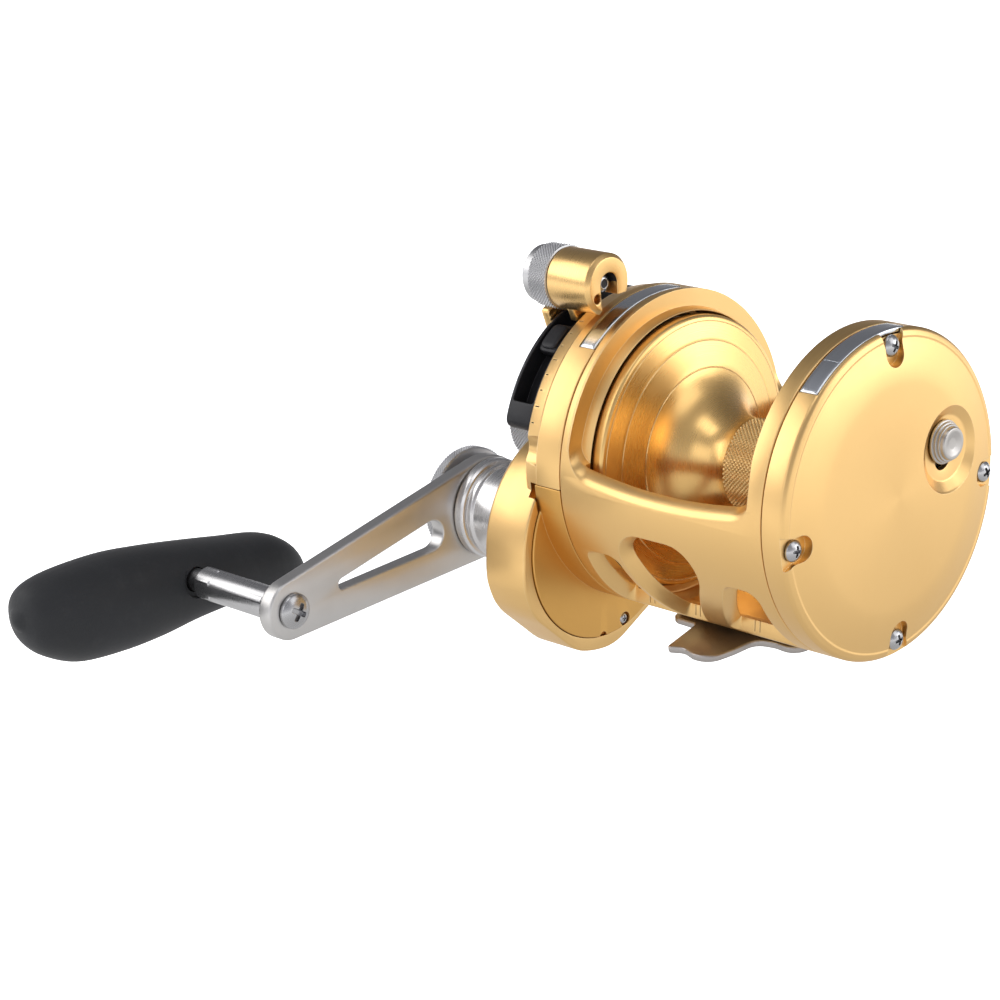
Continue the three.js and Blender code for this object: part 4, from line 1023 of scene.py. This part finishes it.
def spool_shape():
    """Two flanges that mirror each other on a knurled arbor, with a hub on the tail side."""
    hub_x, rim = span("spool")[0][1], span("spool")[1][1]
    face = hub_x - 3
    side = [(face, 0), (face, rim - 0.3), (face - 0.3, rim)]
    side += rounded([(28.6, rim), (27.5, rim, 0.7), (26.9, 38.6)], 6) + cone_points()
    for step in range(FILLET_STEPS + 1):
        depth = GROOVE_DEPTH if step in (11, 12) else 0.0
        side.append(fillet_point(FILLET_SWEEP * (1 - step / FILLET_STEPS), depth))
    profile = [(-x, radius) for x, radius in side] + side[:0:-1] + [(face, 12), (hub_x, 12), (hub_x, 0)]
    band = knurled([(-5.2, 11.5), (-5.2, 13.0)], -4.9, 9.4, 13.4, [(9.7, 13.0), (9.7, 11.5)], 66,
                   KNURL_DEPTH)
    bearing_seats = disc(8.3, 21.5, 40), disc(8.3, -40, -21.5)
    return cut(joined(revolve(profile, FINE), band), disc(4.5, -30, 30), *bearing_seats)


def add_spool():
    """The spool, and finishes for the inner pieces that keep their CAD shape."""
    place_piece(spool_shape(), "spool", "gold_spool")
    for finish, nodes in INNER_FINISH.items():
        for node in nodes:
            materials = frame["nodes"][node].data.materials
            materials.clear()
            materials.append(FINISH[finish])


# ---------- quadrant, lever and preset knob ----------

def quadrant_shape():
    x0, x1 = QUADRANT_X0, QUADRANT_X1
    start, end = surface(25), surface(164)
    corners = [(start, 34, 0.8), (end, 34, 0.8), (end, QUADRANT_R, 3.2), (start, QUADRANT_R, 3.2)]
    band = prism(corners, x0, x1, 0.45, arc_along_x, steps=6, longest=1.2)
    channel = box_corners(x0 + 1.3, x1 - 1.4, surface(35), surface(153.5), 0.8)
    return cut(band, pocket(channel, 37.5, QUADRANT_R, 0.25, round_axis, steps=4, longest=1.2, beyond=6))


def strike_shape():
    x0, x1 = span("strike_button")[0]
    middle = surface(STRIKE_ANGLE)
    body = prism(box_corners(x0, x1, middle - 5.6, middle + 5.6, 1.8), 40, 42.4, 0.6, round_axis, longest=1)
    top = prism(box_corners(x0 + 0.7, x1 - 0.7, middle - 4.7, middle + 4.7, 2), 42, 43.35, 0.7, round_axis,
                longest=1)
    return cut(joined(body, top), disc(1.25, -62, -50, *on_circle(41, STRIKE_ANGLE)))


def strike_screw_shape():
    y, z = on_circle(41, STRIKE_ANGLE)
    shaft = turned([(-59.2, 0.9, 0.1), (-53.6, 0.9), (-53.4, 0.9, 0.2)], SMALL, steps=3)
    slot = loft(box_corners(-2, 2, -0.15, 0.15, 0.05), [(-53.8, 0), (-50, 0)])
    return moved(cut(shaft, slot), y=y, z=z, turn_x=30)


def lever_shape():
    """Built standing along z and turned to the lever's angle."""
    x_out, x_in, reach = -65.4, CASE_X - 0.6, LEVER_REACH
    hub = turned([(-67.5, 12, 0.6), (x_in, 12, 0.3)])
    arm = prism([(-7, 0, 1), (7, 0, 1), (4.6, 45.6, 1.2), (-4.6, 45.6, 1.2)], x_out, x_in, 0.5)
    bridge = prism(box_corners(x_out, -51.4, -1, 4.6, 0.8), 43.7, 45.6, 0.4, along_z)
    stem = prism(box_corners(-54.3, -51.4, -4.6, 4.6, 0.8), 43.7, 52, 0.3, along_z)
    barrel = turned([(-54.4, 8.8, 0.3), (-39.6, 8.8, 0.5), (-38.5, 7.6, 0.4)], ROUND, 0, reach)
    body = joined(hub, arm, bridge, stem, barrel)
    down = 90 - LEVER_ANGLE
    slot = [(-3.4, -6, 0.5), (3.4, -6, 0.5), (3.4, 3.4, 3.35), (-3.4, 3.4, 3.35)]
    keyhole = moved(pocket(slot, -43.4, -38.5, 0.25, steps=10), z=reach, turn_x=down)
    flat = moved(prism(box_corners(-3.3, 20, -20, -3.5, 0.8), -51.2, -30, 0.1), z=reach, turn_x=down)
    pin = pocket(circle_corners(1.35, -5.7, reach - 1.3), -43, -38.5, 0.3, steps=8)
    body = cut(body, disc(SHAFT_HOLE_R, -80, -50), flat, keyhole, pin, disc(2.8, -45.2, -43, 0, reach),
               disc(3.3, -56, -47.4, 0, reach))
    return moved(body, turn_x=LEVER_ANGLE - 90)


def lever_knob_shape():
    before = rounded([(-48, 0), (-48, 3, 0.3), (-54.7, 3, 0.2), (-54.7, 8.6), (-54.9, 9.1)], 3)
    after = rounded([(-61.4, 9.0), (-61.9, 8.3, 0.3), (-64.2, 8.3, 0.3), (-65.3, 7.4, 0.6), (-66.2, 5.4, 0.8),
                     (-66.2, 0)], 4)
    return knurled(before, -55.1, -61.2, 9.4, after, 56, KNURL_DEPTH, *KNOB)


def preset_knob_shape():
    before = rounded([(-81.2, 0), (-81.2, 3.3), (-73.2, 3.3), (-73.2, 12.2, 0.3), (-73.7, 13.0)], 3)
    after = rounded([(-88.4, 13.1), (-89.2, 12.4, 0.6), (-90, 10.2, 0.8), (-90, 4.4, 0.3), (-89.5, 3.6, 0.4),
                     (-89.5, 0)], 4)
    return knurled(before, -74.0, -88.1, 13.6, after, 80, KNURL_DEPTH)


def plunger_shape():
    return turned([(-43, 2.5), (-40.8, 2.5, 0.5), (-40.3, 1.4, 0.2), (-40.6, 1.0)], SMALL, *KNOB)


def from_knob(point):
    return math.hypot(point.y - KNOB_Y, point.z - KNOB_Z)


def polished_edge(point, face):
    """True on the rounded outer edge of the quadrant."""
    radial = Vector((0, point.y, point.z)).normalized()
    outside = point.x < QUADRANT_X0 + 0.6
    return outside and face.normal.x < -0.08 and face.normal.dot(radial) > 0.15


# The keyhole's inner wall is painted black: painted shade.
def painted_keyhole_shade(point, face):
    return -43.6 < point.x < -38.9 and from_knob(point) < 3.7


def tip_ring(point, face):
    return face.normal.x > 0.2 and 1.3 < from_knob(point) < 2.3


def add_drag():
    paint_faces(place_piece(quadrant_shape(), "quadrant", "black"), "chrome", polished_edge)
    place_piece(strike_shape(), "strike_button", "black")
    place_piece(strike_screw_shape(), "strike_screw", "screw")
    # Black on the keyhole's inner wall is painted shade.
    paint_faces(place_piece(lever_shape(), "drag_lever", "gold_lever"), "black", painted_keyhole_shade)
    place_piece(lever_knob_shape(), "lever_knob", "knurl", KNURL_SHARP)
    place_piece(preset_knob_shape(), "preset_knob", "knurl", KNURL_SHARP)
    paint_faces(place_piece(plunger_shape(), "lever_plunger", "black"), "screw", tip_ring)
    for node in ("drag_cam", "cam_follower"):
        place_piece(ring(11, SHAFT_HOLE_R, *span(node)[0]), node, "collar")


# ---------- handle ----------

def collar_shape():
    start = CASE_BOSS_X - 0.4
    profile = [(start, CRANK_HOLE_R, 0.2), (start, 13.4, 0.4), (-86.2, 13.4, 0.4), (-86.9, 14.1, 0.3),
               (-88.2, 14.1, 0.3), (-88.5, 13.5, 0.2), (-88.9, 13.5, 0.2), (-89.2, 14.7, 0.4),
               (-90.2, 15.1, 0.4), (-92.7, 15.1, 0.5), (-92.7, CRANK_HOLE_R, 0.2)]
    return turned(profile, 160, *GEAR, closed=True)


def tapered_solid(y0, r0, y1, r1, levels, steps=28):
    """Solid with two round ends joined by straight sides; levels are (x, grow)."""
    lean = math.asin((r0 - r1) / abs(y1 - y0))
    loops = []
    for x, grow in levels:
        loop = []
        for y, radius, side in ((y0, r0, 1), (y1, r1, -1)):
            start, sweep = -side * (math.pi / 2 + lean), math.pi + 2 * side * lean
            for k in range(steps + 1):
                loop.append((x, *on_circle(radius + grow, math.degrees(start + sweep * k / steps), y)))
        loops.append(loop)
    return skin(loops)


def handle_arm_shape():
    """Built along y and turned to the handle's angle."""
    before, after = ARM_X0 - 1, ARM_X1 + 1
    body = tapered_solid(0, 15.5, -ARM_LENGTH, 8.8, edge_levels(ARM_X0, ARM_X1, 0.8, -1, 4))
    flare = [(ARM_X0 - 2, 0.5)] + edge_levels(ARM_X0, ARM_X1, 0.5, 1, 4) + [(ARM_X1 + 2, 0.5)]
    slot = tapered_solid(-24, 4.6, -60, 1.7, flare)
    arm = cut(body, slot, disc(CRANK_HOLE_R, before, after), disc(2.8, before, after, -ARM_LENGTH))
    return moved(arm, y=GEAR_Y, z=GEAR_Z, turn_x=ARM_DROP)


def handle_nut_shape():
    outer = ARM_X0 - 6
    before = rounded([(ARM_X0 - 2.6, 10.6), (ARM_X0 - 2.6, 6.3), (ARM_X0 - 0.3, 6.3),
                      (ARM_X0 - 0.3, 13.8, 0.3), (ARM_X0 - 1.9, 14.0, 0.4), (ARM_X0 - 2.2, 16.2)])
    after = rounded([(outer + 0.5, 16.3), (outer, 15.6, 0.3), (outer, 11.2, 0.3), (outer + 0.4, 10.6)])
    return knurled(before, ARM_X0 - 2.5, outer + 0.8, 16.9, after, 104, 0.32, *GEAR)


def shift_button_shape():
    base = ARM_X0 - 5.9
    profile = rounded([(-62, 0), (-62, 2.2), (base, 2.2), (base, 10.2, 0.3), (base - 2, 10.2, 0.8),
                       (base - 3.9, 8.9, 2.5), (base - 5.4, 5.0, 5), (base - 5.8, 0)], 6)
    return revolve(profile, ROUND, *GEAR)


def spindle_shape():
    tip = span("grip_spindle")[0][0]
    rod = revolve(rounded([(ARM_X0 - 0.3, 2.8, 0.1), (ARM_X0 - 0.3, 4.8, 0.4), (-131.6, 4.8, 0.3),
                           (-131.6, 3.4, 0.2), (tip, 3.4, 0.4), (tip, 0), (-112, 0), (-112, 2.8)]), ROUND)
    hexagon = [(*on_circle(5.3, degrees), 0.5) for degrees in range(30, 360, 60)]
    near = prism(hexagon, ARM_X0 - 4.2, ARM_X0 - 0.4, 0.5, steps=3)
    far = prism(hexagon, -131, -125, 0.5, steps=3)
    near = cut(near, disc(3, ARM_X0 - 6, ARM_X0 + 1))
    return moved(joined(rod, near, far), y=GRIP_Y, z=GRIP_Z)


# Grip sections: y, centre height, half height, half depth, all from the spindle.
GRIP_SECTIONS = [
    (-56, 2.2, 3.5, 3.5), (-53.6, 1.6, 8.2, 7.8), (-48.5, 0.4, 11.6, 10.8), (-39, -1.2, 14.2, 12.8),
    (-24, -2, 14.9, 13), (-10, -2.8, 13.9, 12.6), (4, -3.4, 12, 12), (20, -4.8, 10.2, 11.6),
    (34, -6.9, 9.4, 11), (42, -9.4, 7.4, 8.6), (47, -12, 3.4, 4),
]


def spline(values, share):
    """Smooth curve through evenly numbered values at a position between them."""
    last = len(values) - 1
    i = min(int(share), last - 1)
    t = share - i
    p0, p1 = values[max(i - 1, 0)], values[i]
    p2, p3 = values[i + 1], values[min(i + 2, last)]
    return 0.5 * (2 * p1 + (p2 - p0) * t + (2 * p0 - 5 * p1 + 4 * p2 - p3) * t * t
                  + (3 * p1 - p0 - 3 * p2 + p3) * t ** 3)


def squared(value, power=0.92):
    """Sine or cosine value bent towards a slightly squared section."""
    return math.copysign(abs(value) ** power, value)


def grip_loop(share, around):
    """Section of the grip at a position in the list of sections, with a fine mould line on top."""
    y, height, half_z, half_x = (spline(column, share) for column in zip(*GRIP_SECTIONS))
    loop = []
    for k in range(around):
        angle = TAU * k / around
        line = 1 + 0.006 * math.exp(-((angle - math.pi / 2) / 0.02) ** 2)
        loop.append((GRIP_X + squared(math.cos(angle)) * half_x * line, GRIP_Y + y,
                     GRIP_Z + height + squared(math.sin(angle)) * half_z * line))
    return np.array(loop)


def domed_end(loop, push):
    """Three shrinking copies of an end loop, moved outwards by up to push."""
    middle = loop.mean(axis=0)
    return [middle + (loop - middle) * shrink + np.array([0, push * step, 0])
            for shrink, step in ((0.72, 0.55), (0.4, 0.85), (0.12, 1.0))]


def grip_shape():
    """Soft T-bar: smooth sections along y with domed ends, hollow where it covers the spindle's end."""
    around, along = 96, 90
    loops = [grip_loop((len(GRIP_SECTIONS) - 1) * k / along, around) for k in range(along + 1)]
    bar = skin([*reversed(domed_end(loops[0], -1.6)), *loops, *domed_end(loops[-1], 1.4)])
    x = GRIP_X
    mouth = [(x - 9.8, 3.8), (x + 10.8, 3.8), (x + 10.8, 5.2), (x + 11.6, 5.2, 0.4), (x + 14, 6.2),
             (x + 20, 6.2)]
    return cut(bar, turned(mouth, ROUND, *GRIP))


def add_handle():
    place_piece(collar_shape(), "collar", "collar")
    place_piece(handle_arm_shape(), "handle_arm", "arm")
    place_piece(handle_nut_shape(), "handle_nut", "knurl", KNURL_SHARP)
    place_piece(shift_button_shape(), "shift_button", "chrome")
    screw = cross_screw(5.2, 2.6, 2.4, 17, ARM_X1 + 0.3, *GRIP, turn=12)
    place_piece(screw, "grip_screw", "screw")
    place_piece(spindle_shape(), "grip_spindle", "steel")
    place_piece(grip_shape(), "grip", "rubber", sharp=60)


# ---------- stage, light and camera ----------

CAMERA_AZIMUTH, CAMERA_HEIGHT, CAMERA_ROLL = 46.17, 18.44, -3.58        # degrees
CAMERA_DISTANCE, LENS, SENSOR = 0.8668, 102.9, 36
TARGET = Vector((-0.098, -0.00995, AXIS_Z - 0.02594))                   # between reel and grip
MIDDLE = Vector((0, 0, AXIS_Z))
FLOOR_HALF = 8
FLOOR_GAP = 3                                   # clear height below the lowest reach of the grip


def area_light(name, target, offset, width, height, power, colour=(1, 1, 1)):
    data = bpy.data.lights.new(name, "AREA")
    data.shape = "RECTANGLE"
    data.size, data.size_y = width, height
    data.energy = power
    data.color = colour
    obj = bpy.data.objects.new(name, data)
    bpy.context.scene.collection.objects.link(obj)
    obj.location = target + Vector(offset)
    obj.rotation_euler = (-Vector(offset)).to_track_quat("-Z", "Y").to_euler()


def add_floor(height):
    """Pale floor with a painted glow that grows away from the object, and a darker colour in reflections than
    to the camera.
    """
    n = Surface("pale_floor")
    path = n.add("ShaderNodeLightPath")
    paper = n.mix(n.range(n.noise(3, 3, 0.5), 0.0, 1.0), (0.88, 0.88, 0.88), (0.9, 0.9, 0.9))
    n.set("Base Color", n.mix((path, "Is Camera Ray"), (0.17, 0.165, 0.16), paper))
    n.set("Roughness", 0.8)
    n.set("Specular IOR Level", 0.1)
    n.set("Emission Color", (1.0, 1.0, 1.0))
    distance = n.add("ShaderNodeVectorMath", "LENGTH")
    n.link(n.place, "Object", distance, 0)
    glow = n.range((distance, "Value"), 0.45, 1.3, 0.03, 1.1)
    n.set("Emission Strength", n.math("ADD", glow, n.math("MULTIPLY", (path, "Is Camera Ray"), 0.52)))
    corners = [(-1, -1), (1, -1), (1, 1), (-1, 1)]
    floor = new_object([(x * FLOOR_HALF, y * FLOOR_HALF, height) for x, y in corners], [(0, 1, 2, 3)])
    floor.name = "floor"
    floor.data.materials.append(n.material)


def world_shade(tree, direction, stops):
    """Grey ramp along a direction of the sky; stops are (cosine, level)."""
    dot = tree.add("ShaderNodeVectorMath", "DOT_PRODUCT")
    dot.inputs[1].default_value = Vector(direction).normalized()
    tree.link(tree.place, "Generated", dot, 0)
    share = tree.add("ShaderNodeMapRange", From_Min=-1)
    tree.link(dot, "Value", share, "Value")
    ramp = tree.add("ShaderNodeValToRGB")
    while len(ramp.color_ramp.elements) < len(stops):
        ramp.color_ramp.elements.new(0.5)
    for element, (cosine, level) in zip(ramp.color_ramp.elements, stops):
        element.position = (cosine + 1) / 2
        element.color = (level, level, level * 1.03, 1)
    tree.link(share, "Result", ramp, "Fac")
    return ramp


def add_world():
    """Studio surround: pale near the horizon, dark overhead and to the rear left; the camera sees white."""
    world = bpy.data.worlds.new("studio")
    bpy.context.scene.world = world
    world.use_nodes = True
    tree = Tree(world.node_tree)
    both = tree.add("ShaderNodeVectorMath", "MULTIPLY")
    height = world_shade(tree, (0, 0, 1), [(-0.1, 0.6), (0.1, 0.62), (0.3, 0.46), (0.6, 0.38), (1, 0.38)])
    rear = world_shade(tree, (-0.55, 0.75, 0.35), [(-1, 1.0), (0.3, 1.0), (0.75, 0.5), (1, 0.4)])
    tree.link(height, "Color", both, 0)
    tree.link(rear, "Color", both, 1)
    surround = tree.add("ShaderNodeBackground")
    tree.link(both, "Vector", surround, "Color")
    plain = tree.add("ShaderNodeBackground", Color=(1, 1, 1, 1))
    mix = tree.add("ShaderNodeMixShader")
    tree.link(tree.add("ShaderNodeLightPath"), "Is Camera Ray", mix, 0)
    tree.link(surround, 0, mix, 1)
    tree.link(plain, 0, mix, 2)
    tree.link(mix, 0, tree.add("ShaderNodeOutputWorld"), "Surface")


def add_camera():
    """Camera at the photo's viewing angle, aimed at the target and rolled about its own axis."""
    azimuth, elevation, roll = map(math.radians, (CAMERA_AZIMUTH, CAMERA_HEIGHT, CAMERA_ROLL))
    back = Vector((math.sin(azimuth) * math.cos(elevation), -math.cos(azimuth) * math.cos(elevation),
                   math.sin(elevation)))
    data = bpy.data.cameras.new("camera")
    data.sensor_width = SENSOR
    data.lens = LENS
    data.clip_start, data.clip_end = 0.05, 30
    camera = bpy.data.objects.new("camera", data)
    bpy.context.scene.collection.objects.link(camera)
    right = Vector((0, 0, 1)).cross(back).normalized()
    up = back.cross(right)
    turned_right = right * math.cos(roll) + up * math.sin(roll)
    turned_up = up * math.cos(roll) - right * math.sin(roll)
    turn = Matrix((turned_right, turned_up, back)).transposed().to_4x4()
    camera.matrix_world = Matrix.Translation(TARGET + back * CAMERA_DISTANCE) @ turn
    bpy.context.scene.camera = camera


def add_stage():
    """The floor lies just below the lowest place that the grip reaches when the handle is turned."""
    grip_half = max(high - low for low, high in span("grip")) / 2
    add_floor(AXIS_Z + (GEAR_Z - ARM_LENGTH - grip_half - FLOOR_GAP) * MM)
    add_world()
    add_camera()
    area_light("key", MIDDLE, (-0.85, -0.62, 0.62), 0.9, 0.8, 4.7, (1, 0.985, 0.96))
    area_light("side", MIDDLE, (0.9, 0.35, 0.6), 0.7, 0.7, 1.8)
    area_light("rear", MIDDLE, (0.85, 0.8, 0.2), 0.7, 0.5, 2.3)
    area_light("top", MIDDLE, (0.1, -0.25, 1.1), 0.7, 0.5, 1.5)
    area_light("front", TARGET, (0.1, -0.95, 0.45), 0.7, 0.5, 0.9)
    settings = bpy.context.scene.view_settings
    settings.view_transform = "Standard"
    settings.look = "None"


add_frame()
add_tail()
add_handle_plate()
add_spool()
add_drag()
add_handle()
add_stage()
